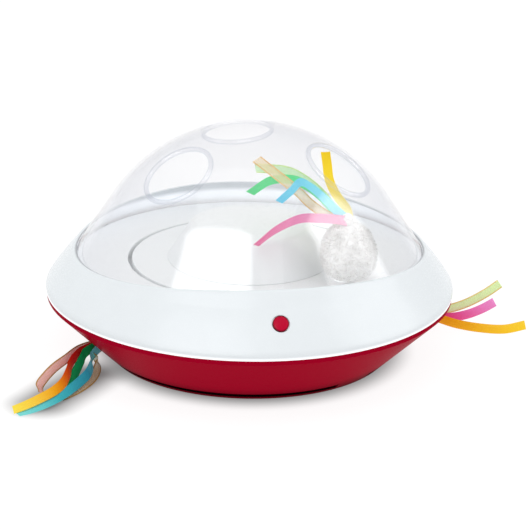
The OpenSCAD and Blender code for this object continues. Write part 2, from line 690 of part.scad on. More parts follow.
// Button: a red cap that slides in the ring's sleeve onto the switch behind it
module power_button() color("#b80d32") at_button() {
    intersection() {
        translate([0, 0, -sleeve_len - gap]) cylinder(r = button_r, h = sleeve_len + gap + button_proud);
        translate([0, 0, button_proud - button_crown]) sphere(r = button_crown);
    }
    translate([0, 0, -sleeve_len - gap - button_flange_t]) cylinder(r = button_flange_r, h = button_flange_t);
    translate([0, 0, -stem_tip]) cylinder(r = stem_r, h = stem_len + 1);
}
module tact_switch() color("#26282b") at_button() {
    translate([0, 0, (switch_h - plunger_h) / 2 - board_z])
        cube([switch_size, switch_size, switch_h - plunger_h], center = true);
    translate([0, 0, -board_z]) cylinder(r = plunger_r, h = switch_h);
}
module button_board() color("#1f6b3a") at_button() difference() {
    translate([0, 0, -board_z - board_t / 2])
        cube([2 * (board_post_x + board_edge), board_w, board_t], center = true);
    for (side = [-1, 1]) translate([side * board_post_x, 0, -board_z - board_t - 1])
        cylinder(r = board_screw_r + run, h = board_t + 2);
}
module button_board_screws() color(steel) at_button() for (side = [-1, 1])
    translate([side * board_post_x, 0, -board_z - board_t]) {
        translate([0, 0, -board_head_t]) cylinder(r = board_head_r, h = board_head_t);
        cylinder(r = board_screw_r, h = board_t + board_bite);
    }

// Rotor: shaft, output gear, turntable and hub cone turn as one and carry the lure
module drive_shaft() color(steel) translate([0, 0, plate_z - plate_t - shaft_tail])
    cylinder(r = shaft_r, h = deck_z + nut_h + shaft_tip - plate_z + plate_t + shaft_tail);
module output_gear() color(nylon) difference() {
    union() {
        translate([0, 0, plate_z + idler_gap]) cylinder(r = output_hub_r, h = output_low - plate_z);
        translate([0, 0, output_low]) gear(output_teeth, tooth_w);
    }
    translate([0, 0, plate_z]) cylinder(r = shaft_r, h = 4 * tooth_w);
}
module turntable() color(white) difference() {
    union() {
        translate([0, 0, deck_z - wall]) cylinder(r = disc_r, h = wall);
        translate([0, 0, deck_z - wall - disc_skirt]) tube(disc_r, disc_r - wall, disc_skirt + eps);
        translate([0, 0, well_z + bush_flange_t + gap])
            cylinder(r = disc_boss_r, h = well_depth - bush_flange_t - gap);
    }
    translate([0, 0, well_z]) cylinder(r = shaft_r, h = well_depth + 1);
}
module shaft_nut() color(steel) translate([0, 0, deck_z]) difference() {
    cylinder(r = nut_r, h = nut_h, $fn = 6);
    translate([0, 0, -eps]) cylinder(r = shaft_r, h = nut_h + 1);
}
hub_round = 5;
hub_lean = (hub_r - hub_top_r) / hub_h;
hub_slant = atan(hub_lean);
hub_round_x = hub_top_r - hub_round * tan((90 - hub_slant) / 2);
module hub_profile(inset) {
    top = hub_h - inset;
    foot = hub_r - inset / cos(hub_slant);
    polygon([[0, 0], [foot, 0], [foot - hub_lean * top, top], [0, top]]);
}
module hub_cone() color(white) translate([0, 0, deck_z]) difference() {
    rotate_extrude() difference() {
        hub_profile(0);
        translate([hub_round_x, hub_h - hub_round]) round_corner(hub_round, hub_slant, 90);
    }
    translate([0, 0, -eps]) rotate_extrude() hub_profile(wall);
}
module lure_peg() color(white) at_lure() translate([0, peg_in, deck_z]) {
    cylinder(r = peg_flange_r, h = peg_flange_t);
    cylinder(r = peg_r, h = peg_h);
}

// Plush lure: it swells below and tapers to its knot, computed ring by ring
function lure_size(v) = pow(sin(180 * v), 0.6) * (1.05 - 0.28 * v * v);
function lure_point(u, v) = [lure_w / 2 * lure_size(v) * cos(u),
    lure_d / 2 * lure_size(v) * sin(u) + lure_lean * v, lure_h * (1 - cos(180 * v)) / 2];
module lure_body() color("#f4f2ee") difference() {
    at_lure() translate([0, 0, lure_low]) polyhedron(
        concat([lure_point(0, 0)], [for (i = [1:lure_rings - 1]) for (k = [0:lure_sides - 1])
            lure_point(k * 360 / lure_sides, i / lure_rings)], [lure_point(0, 1)]),
        concat([for (k = [0:lure_sides - 1]) [0, 1 + k, 1 + (k + 1) % lure_sides]],
            [for (i = [0:lure_rings - 3]) for (k = [0:lure_sides - 1])
                let (a = 1 + i * lure_sides + k, b = 1 + i * lure_sides + (k + 1) % lure_sides)
                each [[a, a + lure_sides, b + lure_sides], [a, b + lure_sides, b]]],
            [for (k = [0:lure_sides - 1]) let (z = 1 + (lure_rings - 2) * lure_sides, top = z + lure_sides)
                [z + k, top, z + (k + 1) % lure_sides]]));
    at_lure() translate([0, peg_in, deck_z]) cylinder(r = peg_r + run, h = peg_h + gap);
}
module lure_knot() color("#f4f2ee") translate(knot_at) sphere(r = knot_r);
upright = [0.06, 0.34, 0.94];
module lure_ribbon_pink() color("#ef6fa8") ribbon(route_lure_pink, upright, [0.4, 0.8, 0.5]);
module lure_ribbon_cyan() color("#5fd8ee") ribbon(route_lure_cyan, upright, [-0.2, 0.9, 0.4]);
module lure_ribbon_gold() color("#d8c88a") ribbon(route_lure_gold, upright, upright);
module lure_ribbon_green() color("#2fd27f") ribbon(route_lure_green, upright, [0.1, 0.7, 0.7]);
module lure_ribbon_lime() color("#bfe08a") ribbon(route_lure_lime, upright, [0.1, 0.6, 0.8]);
module lure_ribbon_yellow() color("#f7c81e") ribbon(route_lure_yellow, [1, -0.16, 0], [1, -0.16, 0]);

// Tassels: ribbons that leave the tub through grommets in the two scoops
module tassel_grommets() color("#7d0820") at_grommets() difference() {
    union() {
        cylinder(r = grommet_r + grommet_wall, h = wall + grommet_tail);
        translate([0, 0, -grommet_flange_t]) cylinder(r = grommet_r + grommet_flange, h = grommet_flange_t);
    }
    translate([0, 0, -grommet_flange_t - eps]) cylinder(r = grommet_r, h = 3 * wall);
}
on_edge = [0, 0, -1];
laid = [0.6, -0.8, 0];
module left_ribbon_organza() color("#e9a9a0") ribbon(route_left_organza, on_edge, [0.6, -0.7, -0.3]);
module left_ribbon_orange() color("#f0802a") ribbon(route_left_orange, on_edge, [0.55, -0.7, -0.4]);
module left_ribbon_green() color("#12a35c") ribbon(route_left_green, on_edge, laid);
module left_ribbon_cyan() color("#35bcd6") ribbon(route_left_cyan, on_edge, laid);
module left_ribbon_gold() color("#c9b27c") ribbon(route_left_gold, on_edge, laid);
module right_ribbon_green() color("#bfe08a") ribbon(route_right_green, -on_edge, upright);
module right_ribbon_pink() color("#e0468f") ribbon(route_right_pink, -on_edge, upright);
module right_ribbon_orange() color("#f5a81c") ribbon(route_right_orange, -on_edge, upright);

base_tub();
rubber_feet();
battery_door();
battery_door_screw();
battery_cells();
battery_contacts();
circuit_board();
motion_sensor();
mech_plate();
motor();
motor_pinion();
idler_axle();
idler_gear();
plate_screws();
track_deck();
shaft_bush();
deck_screws();
housing_screws();
upper_ring();
dome();
power_button();
tact_switch();
button_board();
button_board_screws();
drive_shaft();
output_gear();
turntable();
shaft_nut();
hub_cone();
lure_peg();
lure_body();
lure_knot();
lure_ribbon_pink();
lure_ribbon_cyan();
lure_ribbon_gold();
lure_ribbon_green();
lure_ribbon_lime();
lure_ribbon_yellow();
tassel_grommets();
left_ribbon_organza();
left_ribbon_orange();
left_ribbon_green();
left_ribbon_cyan();
left_ribbon_gold();
right_ribbon_green();
right_ribbon_pink();
right_ribbon_orange();
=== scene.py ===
import bmesh
import bpy
import numpy as np
from mathutils import Matrix


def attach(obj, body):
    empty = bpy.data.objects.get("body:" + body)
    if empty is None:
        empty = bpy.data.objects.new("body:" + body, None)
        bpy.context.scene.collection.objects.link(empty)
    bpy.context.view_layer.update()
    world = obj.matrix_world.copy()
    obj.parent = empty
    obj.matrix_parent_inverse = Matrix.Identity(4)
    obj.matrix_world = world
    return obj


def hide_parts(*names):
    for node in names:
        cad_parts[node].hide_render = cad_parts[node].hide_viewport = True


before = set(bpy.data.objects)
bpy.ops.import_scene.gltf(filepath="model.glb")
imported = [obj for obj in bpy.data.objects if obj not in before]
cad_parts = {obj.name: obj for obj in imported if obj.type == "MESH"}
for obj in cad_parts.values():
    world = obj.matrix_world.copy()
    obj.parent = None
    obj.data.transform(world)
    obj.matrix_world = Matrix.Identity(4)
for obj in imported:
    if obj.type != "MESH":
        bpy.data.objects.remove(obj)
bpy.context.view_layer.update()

# Camera: a long lens, a little to the left of the button and about twenty degrees over the floor.
# It aims at the middle of the seam, turned slightly about its own axis, and its shift frames the toy.
scene = bpy.context.scene
seam_z = 41.5
mm = 0.001


def facing(azimuth, height, tilt=0.0):
    """Directions of a view or panel that faces the toy: along its width, along its height and away from it.

    The azimuth runs from the front to the right, and the tilt turns it in its own plane, in degrees.
    """
    a, e, t = np.radians([azimuth, height, tilt])
    away = np.array([np.sin(a) * np.cos(e), -np.cos(a) * np.cos(e), np.sin(e)])
    level = np.array([np.cos(a), np.sin(a), 0.0])
    over = np.cross(away, level)
    return level * np.cos(t) + over * np.sin(t), over * np.cos(t) - level * np.sin(t), away


def aimed(name, data, directions, distance, aim):
    """Put a camera or a lamp into the scene, this far from the point that it aims at."""
    made = bpy.data.objects.new(name, data)
    stand = np.eye(4)
    stand[:3, :3] = np.stack(directions, 1)
    stand[:3, 3] = (directions[2] * distance + aim) * mm
    made.matrix_world = Matrix(stand.tolist())
    scene.collection.objects.link(made)
    return made


view_azimuth, view_height, view_tilt, view_far = -9.3, 20.42, 0.9, 1673.0
camera = aimed("camera", bpy.data.cameras.new("camera"), facing(view_azimuth, view_height, view_tilt),
               view_far, [0, 0, seam_z])
camera.data.lens, camera.data.sensor_width = 176.6, 36.0
camera.data.shift_x, camera.data.shift_y = 0.0294, 0.0386
camera.data.clip_start, camera.data.clip_end = 0.05, 50.0
scene.camera = camera

# Studio: a white room with one lamp overhead and two lit cloth panels in front, left and right.
# Only mirrors show the panels, as the bright panes on the dome and the paler bands on the ring.
scene.view_settings.view_transform = "Standard"
scene.view_settings.look = "None"
scene.cycles.transparent_max_bounces = 32
room_light, lamp_far, lamp_aim = 0.9, 1400.0, np.array([0.0, 0.0, 60.0])


def linear(code):
    """sRGB hex code to linear red, green and blue, with full cover."""
    c = np.array([int(code[i:i + 2], 16) for i in (0, 2, 4)]) / 255
    c = np.where(c <= 0.04045, c / 12.92, ((c + 0.055) / 1.055) ** 2.4)
    return (*c.tolist(), 1.0)


def wire(tree, node, inputs):
    """Fill a node's inputs: a value is set, a socket is linked, a node stands for its first live output."""
    for key, value in inputs.items():
        if isinstance(value, bpy.types.Node):
            value = next(socket for socket in value.outputs if socket.enabled)
        if isinstance(value, bpy.types.NodeSocket):
            tree.links.new(value, node.inputs[key])
        else:
            node.inputs[key].default_value = value
    return node


def add(tree, kind, inputs=None, **settings):
    """Add one node with its settings, and fill its inputs."""
    made = tree.nodes.new("ShaderNode" + kind)
    for key, value in settings.items():
        setattr(made, key, value)
    return wire(tree, made, inputs or {})


def blank(name):
    """A new material; returns it, its tree and its main shader."""
    made = bpy.data.materials.new(name)
    made.use_nodes = True
    return made, made.node_tree, made.node_tree.nodes["Principled BSDF"]


def surface(name, *grids, chart=None, crease=40.0):
    """One mesh from grids of points (..., rows, columns, 3), each alone or paired with the quads to keep.

    Neighbouring points make quads, and points that coincide are joined, which closes seams and poles.
    The chart holds each point's place on the piece's own map. Edges that turn by more than the crease,
    in degrees, stay sharp.
    """
    points, quads, count = [], [], 0
    for grid in grids:
        grid, kept = grid if isinstance(grid, tuple) else (grid, ...)
        index = np.arange(grid.size // 3).reshape(grid.shape[:-1]) + count
        corners = [index[..., :-1, :-1], index[..., 1:, :-1], index[..., 1:, 1:], index[..., :-1, 1:]]
        quads.append(np.stack(corners, -1)[kept].reshape(-1, 4))
        points.append(grid.reshape(-1, 3))
        count += grid.size // 3
    used, quads = np.unique(np.concatenate(quads), return_inverse=True)
    points, quads = np.concatenate(points)[used], quads.reshape(-1, 4)
    mesh = bpy.data.meshes.new(name)
    mesh.from_pydata(points * mm, [], quads)
    if chart is not None:
        layer = mesh.uv_layers.new(name="chart")
        layer.data.foreach_set("uv", chart.reshape(-1, 2)[used][quads.ravel()].astype(np.float32).ravel())
    work = bmesh.new()
    work.from_mesh(mesh)
    bmesh.ops.remove_doubles(work, verts=work.verts, dist=2e-6)
    bmesh.ops.dissolve_degenerate(work, edges=work.edges, dist=1e-7)
    bmesh.ops.recalc_face_normals(work, faces=work.faces)
    work.to_mesh(mesh)
    work.free()
    mesh.polygons.foreach_set("use_smooth", np.ones(len(mesh.polygons), bool))
    mesh.set_sharp_from_angle(angle=np.radians(crease))
    return mesh


def place(mesh, material, body=None, stands_for=()):
    """Put a mesh into the scene with its material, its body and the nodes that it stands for."""
    made = bpy.data.objects.new(mesh.name, mesh)
    scene.collection.objects.link(made)
    mesh.materials.append(material)
    if body:
        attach(made, body)
    if stands_for:
        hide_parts(*stands_for)
    return made


def softbox(name, directions, size, radiance):
    """A lit cloth panel, |x|^6 + |y|^6 < 1 scaled to its size, that dims over its border to a share."""
    border_from, border_share = 0.82, 0.3
    wide, high, away = directions
    turn, share = np.linspace(0, 2 * np.pi, 129)[None], np.linspace(0, 1, 9)[:, None]
    rim = (np.cos(turn) ** 6 + np.sin(turn) ** 6) ** (-1 / 6)
    x, y = (share * rim * np.cos(turn))[..., None], (share * rim * np.sin(turn))[..., None]
    panel = away * lamp_far + lamp_aim + (x * wide * size[0] + y * high * size[1]) / 2
    cloth, tree, _ = blank(name + " cloth")
    tree.nodes.clear()
    outwards = add(tree, "SeparateXYZ", {0: add(tree, "UVMap", uv_map="chart")})
    strength = add(tree, "MapRange", {"Value": outwards, "From Min": border_from, "From Max": 1.0,
                                      "To Min": room_light + radiance,
                                      "To Max": room_light + border_share * radiance})
    lit = add(tree, "Emission", {"Color": linear("ffffff"), "Strength": strength})
    add(tree, "OutputMaterial", {"Surface": lit})
    made = place(surface(name, panel, chart=np.stack(np.broadcast_arrays(share, 0 * turn), -1)), cloth)
    made.visible_camera, made.visible_shadow, made.visible_diffuse = False, False, False


room = bpy.data.worlds.new("white_room")
room.use_nodes = True
wire(room.node_tree, room.node_tree.nodes["Background"], {"Color": linear("ffffff"), "Strength": room_light})
scene.world = room
overhead = aimed("overhead", bpy.data.lights.new("overhead", "AREA"), facing(-20, 75), lamp_far, lamp_aim)
overhead.data.shape, overhead.data.size, overhead_radiance = "SQUARE", 1.6, 0.5
overhead.data.energy = overhead_radiance * np.pi * overhead.data.size ** 2
softbox("softbox_left", facing(-37, 34, 10), (1250, 1100), 3.3)
softbox("softbox_right", facing(76, 28), (1100, 1300), 3.3)

# White paper on a light table: matt, with a faint mottle 30 mm across. It glows, and its glow is dimmed
# under the toy and under the left tassel: painted shadows there, short and soft.
shade_from, shade_to, glow_in_painted_shadow, glow_open = 86.0, 110.0, 0.24, 0.9
tassel_root, tassel_tip = np.array([-106, -36, 0]) * mm, np.array([-140, -80, 0]) * mm
tassel_shadow_from, tassel_shadow_to, glow_in_painted_tassel_shadow = 4.0, 30.0, 0.15
paper, tree, skin = blank("white paper")
where = add(tree, "TexCoord").outputs["Object"]
mottle = add(tree, "TexNoise", {"Vector": where, "Scale": 1000 / 30, "Detail": 3.0})
shade = add(tree, "Mix", {"Factor": mottle, 6: linear("6a6a6a"), 7: linear("6e6e6e")}, data_type="RGBA")
# Painted shadow under the toy: the paper's glow is weaker close to the shaft.
from_shaft = add(tree, "VectorMath", {0: where}, operation="LENGTH")
glow_with_painted_toy_shadow = add(tree, "MapRange", {"Value": from_shaft, "From Min": shade_from * mm, "From Max": shade_to * mm,
                                   "To Min": glow_in_painted_shadow, "To Max": glow_open},
                interpolation_type="SMOOTHSTEP")
# Painted shadow under the left tassel: the glow is weaker near the line from its root to its tip.
tassel_run = tassel_tip - tassel_root
from_root = add(tree, "VectorMath", {0: where, 1: tassel_root}, operation="SUBTRACT")
share = add(tree, "VectorMath", {0: from_root, 1: tassel_run / np.sum(tassel_run ** 2)},
            operation="DOT_PRODUCT")
along_run = add(tree, "Clamp", {"Value": share})
nearest = add(tree, "VectorMath", {0: tassel_run, "Scale": along_run}, operation="SCALE")
beside = add(tree, "VectorMath", {0: from_root, 1: nearest}, operation="DISTANCE")
painted_tassel_shadow = add(tree, "MapRange", {"Value": beside, "From Min": tassel_shadow_from * mm, "From Max": tassel_shadow_to * mm,
                                     "To Min": glow_in_painted_tassel_shadow, "To Max": 1.0}, interpolation_type="SMOOTHSTEP")
glow = add(tree, "Math", {0: glow_with_painted_toy_shadow, 1: painted_tassel_shadow}, operation="MULTIPLY")
wire(tree, skin, {"Base Color": shade, "Roughness": 0.9, "Specular IOR Level": 0.1,
                  "Emission Color": linear("ffffff"), "Emission Strength": glow})
span = np.linspace(-6000, 6000, 25)
floor = place(surface("floor", np.stack([*np.meshgrid(span, span), np.zeros((25, 25))], -1)), paper)
floor.data.flip_normals()

# Tub: the red lower half, a shallow cone of glossy ABS moulded in one with its floor, posts and battery bay.
# Painted shade darkens the insides of the slots over its foot, and the foot towards the floor. The door of
# the bay is screwed on from below.
cone_slope, cone_r, slot_depth, slot_mid, slot_half = 1.0354, 89.7, 0.7, 4.2, 2.1
foot_shade_from, foot_shade_to, foot_shade_most = 2.0, 11.0, 0.5


def moulded(name, code, gloss, shine):
    """ABS from a polished mould: the eye sees an even colour under a clear gloss.

    The pigment has a mottle 12 mm across, the skin a ripple 8 mm across, and the polish a fine grain,
    which is drawn at 0.8 mm so that it shows.
    """
    made, tree, skin = blank(name)
    where = add(tree, "TexCoord").outputs["Object"]
    clouds = add(tree, "TexNoise", {"Vector": where, "Scale": 1000 / 12, "Detail": 4.0})
    grain = add(tree, "TexNoise", {"Vector": where, "Scale": 1000 / 0.8, "Detail": 2.0})
    wave = add(tree, "TexNoise", {"Vector": where, "Scale": 1000 / 8, "Detail": 1.0})
    pale = linear(code)
    deep = tuple(c * 0.965 for c in pale[:3]) + (1.0,)
    pigment = add(tree, "Mix", {"Factor": clouds, 6: deep, 7: pale}, data_type="RGBA")
    polish = add(tree, "MapRange", {"Value": grain, "From Min": 0.3, "From Max": 0.7,
                                    "To Min": gloss * 0.8, "To Max": gloss * 1.25})
    ripple = add(tree, "Bump", {"Height": wave, "Strength": 0.012, "Distance": 0.001})
    wire(tree, skin, {"Base Color": pigment, "Roughness": polish, "Normal": ripple, "IOR": 1.53,
                      "Specular IOR Level": shine})
    return made


def paint_shade(material, factor, code):
    """Paint shade into a moulding's pigment: mix in a darker colour by a factor; returns its shader."""
    tree, skin = material.node_tree, material.node_tree.nodes["Principled BSDF"]
    pigment = skin.inputs["Base Color"].links[0].from_socket
    mixed = add(tree, "Mix", {"Factor": factor, 6: pigment, 7: linear(code)}, data_type="RGBA")
    return wire(tree, skin, {"Base Color": mixed})


def coat(material, *names):
    """Give a material to the nodes that keep their own mesh."""
    for name in names:
        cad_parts[name].data.materials.clear()
        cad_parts[name].data.materials.append(material)


red_abs = moulded("raspberry ABS, polished moulding", "9a0422", 0.3, 0.002)
tree = red_abs.node_tree
where = add(tree, "TexCoord").outputs["Object"]
height = add(tree, "SeparateXYZ", {0: where}).outputs["Z"]
flat = add(tree, "VectorMath", {0: where, 1: (1, 1, 0)}, operation="MULTIPLY")
radius = add(tree, "VectorMath", {0: flat}, operation="LENGTH")
off_cone = add(tree, "Math", {0: height, 1: -cone_slope, 2: radius}, operation="MULTIPLY_ADD")
recessed = add(tree, "MapRange", {"Value": off_cone, "From Min": (cone_r - slot_depth) * mm,
                                  "From Max": cone_r * mm, "To Min": 1.0, "To Max": 0.0})
at_slot = add(tree, "Math", {0: height, 1: slot_mid * mm, 2: slot_half * mm}, operation="COMPARE")
painted_slot_shade = add(tree, "Math", {0: recessed, 1: at_slot}, operation="MULTIPLY")
painted_foot_shade = add(tree, "MapRange", {"Value": height, "From Min": foot_shade_from * mm,
                                    "From Max": foot_shade_to * mm, "To Min": foot_shade_most, "To Max": 0.0})
# Painted shade in 26000a: inside the slots, and over the foot, darker towards the floor.
paint_shade(red_abs, add(tree, "Math", {0: painted_slot_shade, 1: painted_foot_shade}, operation="MAXIMUM"), "26000a")
coat(red_abs, "base_tub", "battery_door")

# Ring: the white upper half, a domed band of ABS with a rounded rim and a wavy lip that hugs the dome.
# Moulded in one with the sleeve of the button and the bosses that the deck is screwed up into. Long screws
# hold the tub to the deck, and so to the ring.
rim_r, rim_round, ring_land, ring_sr, ring_wall = 130.5, 5.0, 1.9, 154.0, 2.5
ring_cz = seam_z + ring_land - np.sqrt((ring_sr - rim_round) ** 2 - (rim_r - rim_round) ** 2)
rim_turn = np.arccos((rim_r - rim_round) / (ring_sr - rim_round))
brow_z, side_z = seam_z + 36.0, seam_z + 26.0
lip_x = np.sqrt(ring_sr ** 2 - (side_z - ring_cz) ** 2)
lip_radius = (lip_x ** 2 + (brow_z - side_z) ** 2) / (2 * (brow_z - side_z))
lip_cz, lip_out_round, lip_in_round = brow_z - lip_radius, 0.9, 0.4
flank_z, flank_tilt, flank_soft = side_z + 0.5, np.radians(35.0), 0.2
seam_step, seam_bevel = 3.5, 0.4
rim_steps, skin_steps = 8, 72
dome_r, dome_wall, dome_gap, dome_cz = 106.0, 2.2, 0.3, seam_z + 1.0
skirt_turn, seat_z = np.radians(33.0), seam_z + 17.3
button_r, sleeve_gap, sleeve_round, sleeve_wall, sleeve_foot, sleeve_top = 5.0, 0.3, 0.5, 1.5, -8.0, -2.0
button_turn = np.arcsin((seam_z + 19.55 - ring_cz) / ring_sr)


def dome_at(z, inset):
    """Radius of the dome at a height: a sphere above, and below skirt_turn the cone that is tangent to it."""
    r, h = dome_r - inset, z - dome_cz
    return np.where(h > r * np.sin(skirt_turn), np.sqrt(np.maximum(r * r - h * h, 0)),
                    (r - h * np.sin(skirt_turn)) / np.cos(skirt_turn))


def skin_at(z):
    """Radius of the ring's skin at a height: the larger of its sphere and its flank, with a soft turn."""
    ball = np.sqrt(ring_sr ** 2 - (z - ring_cz) ** 2)
    flank = np.sqrt(ring_sr ** 2 - (flank_z - ring_cz) ** 2) - (z - flank_z) * np.tan(flank_tilt)
    return (ball + flank + np.sqrt((ball - flank) ** 2 + flank_soft ** 2)) / 2


def lining_at(z):
    """Radius of the ring's inner face at a height, no larger than the step at the seam.

    It is the larger of the inner sphere and the dome's outer face with its gap.
    """
    ball = np.sqrt((ring_sr - ring_wall) ** 2 - (z - ring_cz) ** 2)
    return np.minimum(np.maximum(ball, dome_at(z, -dome_gap)), rim_r - seam_step)


def ring_section(azimuth):
    """Closed outlines (azimuths, points, 2) of radius and height, one for each azimuth.

    Each runs up the land, round the rim, along the skin to where the lip's cylinder cuts it, over the rounded
    lip, down the inner face and back along the seam. The cut is found by going to and fro between the skin
    and the cylinder until its height stands still.
    """
    a = azimuth[:, None]
    ones = np.ones_like(a)
    top = side_z * ones
    for _ in range(12):
        top = lip_cz + np.sqrt(lip_radius ** 2 - (skin_at(top) * np.sin(a)) ** 2)
    ease, turn = np.linspace(0, 1, 7)[None], np.linspace(0, rim_turn, rim_steps)[None]
    start = ring_cz + ring_sr * np.sin(rim_turn)
    climb = start + (top - lip_out_round - start) * np.linspace(0, 1, skin_steps + 1)[None, 1:]
    fall_from, fall_to = top - lip_in_round, seam_z + 4.5
    fall = fall_from + (fall_to - fall_from) * np.linspace(0, 1, 25)[None, 1:]
    lip_out = ((1 - ease) ** 2 * skin_at(top - lip_out_round) + 2 * ease * (1 - ease) * skin_at(top)
               + ease ** 2 * (skin_at(top) - lip_out_round))
    lip_in = ((1 - ease) ** 2 * (lining_at(top) + lip_in_round) + 2 * ease * (1 - ease) * lining_at(top)
              + ease ** 2 * lining_at(fall_from))
    seam = np.array([[rim_r - seam_step, seam_z], [rim_r - seam_bevel, seam_z], [rim_r, seam_z + seam_bevel]])
    radii = [rim_r * ones, rim_r - rim_round + rim_round * np.cos(turn) * ones, skin_at(climb),
             lip_out[:, 1:], lip_in, lining_at(fall), seam[None, :, 0] * ones]
    heights = [(seam_z + seam_bevel) * ones, seam_z + ring_land + rim_round * np.sin(turn) * ones, climb,
               top - lip_out_round * (1 - ease[:, 1:]) ** 2, top - lip_in_round * ease ** 2, fall,
               seam[None, :, 1] * ones]
    return np.stack([np.concatenate(radii, 1), np.concatenate(heights, 1)], -1)


def around(r, z, a):
    """Points at radius r and height z, turned from the front to the right by the angle a."""
    return np.stack(np.broadcast_arrays(r * np.sin(a), -r * np.cos(a), z), -1)


def spun(profile, steps=96):
    """A profile (points, 2) of radius and height, turned about the Z axis; returns a grid of points."""
    return around(profile[None, :, 0], profile[None, :, 1], np.linspace(0, 2 * np.pi, steps + 1)[:, None])


def from_button(points):
    """Points in the button's own frame, its axis along +Z from the ring's skin, into the part's frame."""
    x, y, z = np.moveaxis(points, -1, 0)
    z = z + ring_sr
    return np.stack([x, y * np.sin(button_turn) - z * np.cos(button_turn),
                     ring_cz + y * np.cos(button_turn) + z * np.sin(button_turn)], -1)


def holed(grid, centre, axes, hole_turn):
    """Drop the quads of a spherical grid inside circles about axes through centre, and round off the cut.

    The angle hole_turn lies between an axis and its circle; points inside move away from the axis to it.
    Returns the grid and which of its quads are kept.
    """
    shape = grid.shape[:2]
    arm = grid.reshape(-1, 3) - centre
    length = np.linalg.norm(arm, axis=1)
    kept = np.ones((shape[0] - 1, shape[1] - 1), bool)
    for axis in axes:
        inside = arm @ axis / length > np.cos(hole_turn)
        corner = inside.reshape(shape)
        kept &= ~(corner[:-1, :-1] & corner[1:, :-1] & corner[1:, 1:] & corner[:-1, 1:])
        aside = arm - (arm @ axis)[:, None] * axis
        aside /= np.maximum(np.linalg.norm(aside, axis=1), 1e-9)[:, None]
        on_circle = length[:, None] * (np.cos(hole_turn) * axis + np.sin(hole_turn) * aside)
        arm = np.where(inside[:, None], on_circle, arm)
    return (arm + centre).reshape(grid.shape), kept


fine_degrees = np.arange(-5, 5.01, 0.25)
azimuths = np.radians(np.concatenate([np.arange(-180, -5, 1.0), fine_degrees, np.arange(6, 181, 1.0)]))
section = ring_section(azimuths)
shell = around(section[..., 0], section[..., 1], azimuths[:, None])
skin_columns = slice(rim_steps, rim_steps + 1 + skin_steps)
button_axis = np.array([0.0, -np.cos(button_turn), np.sin(button_turn)])
collar_r = button_r + sleeve_gap + sleeve_round
ring_skin, ring_kept = holed(shell[:, skin_columns], np.array([0, 0, ring_cz]), [button_axis],
                             np.arcsin(collar_r / ring_sr))
shell[:, skin_columns] = ring_skin
quarter = np.linspace(0, np.pi / 2, 6)
collar_z = np.sqrt(ring_sr ** 2 - collar_r ** 2) - ring_sr
sleeve = np.concatenate([
    np.stack([collar_r - sleeve_round * np.sin(quarter), collar_z - sleeve_round * (1 - np.cos(quarter))], 1),
    [[collar_r - sleeve_round, sleeve_foot], [collar_r + sleeve_wall, sleeve_foot],
     [collar_r + sleeve_wall, sleeve_top]]])

# The ring's finish: white ABS. Its inner wall glows with painted light, as if lit through the dome,
# with a painted dark line of shade close under the lip, and painted shade on the rounded rim.
painted_wall_glow, rim_shade_h, rim_shade_most = 0.46, 6.0, 0.22
white_abs = moulded("white ABS, polished moulding", "e8edf0", 0.24, 0.15)
tree = white_abs.node_tree
where = add(tree, "TexCoord").outputs["Object"]
depth = add(tree, "VectorMath", {0: where, 1: (0, 0, ring_cz * mm)}, operation="DISTANCE")
within = add(tree, "MapRange", {"Value": depth, "From Min": (ring_sr - 1.5) * mm,
                                "From Max": (ring_sr - 0.6) * mm, "To Min": 1.0, "To Max": 0.0})
side_on = add(tree, "VectorMath", {0: where, 1: (1, 0, 1)}, operation="MULTIPLY")
from_lip = add(tree, "VectorMath", {0: side_on, 1: (0, 0, lip_cz * mm)}, operation="DISTANCE")
near_lip = add(tree, "MapRange", {"Value": from_lip, "From Min": (lip_radius - 1.7) * mm,
                                  "From Max": (lip_radius - 0.9) * mm})
painted_lip_shade = add(tree, "Math", {0: within, 1: near_lip}, operation="MULTIPLY")
inner_wall = add(tree, "Math", {0: within, 1: painted_lip_shade}, operation="SUBTRACT")
painted_inner_glow = add(tree, "Math", {0: inner_wall, 1: painted_wall_glow}, operation="MULTIPLY")
height = add(tree, "SeparateXYZ", {0: where}).outputs["Z"]
painted_rim_shade = add(tree, "MapRange", {"Value": height, "From Min": seam_z * mm,
                                   "From Max": (seam_z + rim_shade_h) * mm,
                                   "To Min": rim_shade_most, "To Max": 0.0})
# Painted shade in a4a7ac on the line under the lip and on the rim; painted light as the inner wall's glow.
skin = paint_shade(white_abs, add(tree, "Math", {0: painted_lip_shade, 1: painted_rim_shade}, operation="MAXIMUM"), "a4a7ac")
wire(tree, skin, {"Emission Color": linear("ffffff"), "Emission Strength": painted_inner_glow})
place(surface("upper_ring_shell", shell[:, :rim_steps + 1], shell[:, rim_steps + skin_steps:],
              shell[:, [-1, 0]], (shell[:, skin_columns], ring_kept), from_button(spun(sleeve))),
      white_abs, "housing", ["upper_ring"])

# Deck: the white floor under the dome, with a raised track round a well that the turntable runs in.
# Moulded in one from white ABS and screwed up into the ring, so it clamps the dome's skirt. A notch in front
# clears the button.
# The inner mouldings are the ring's white ABS painted lighter: painted light for the inside of the dome.
white_abs_painted_lighter = moulded("white ABS, inner mouldings, painted lighter", "f8fafb", 0.3, 0.3)
deck_wall, deck_bore = 2.5, 7.05
deck_z, well_z, well_r = seat_z + 2.2, seat_z - 4.8, 78.0
track_r, deck_r = float(dome_at(deck_z, dome_wall)) - 0.3, float(dome_at(seat_z, 0)) - 0.8
button_room, front_cosine = 7.6, 0.9


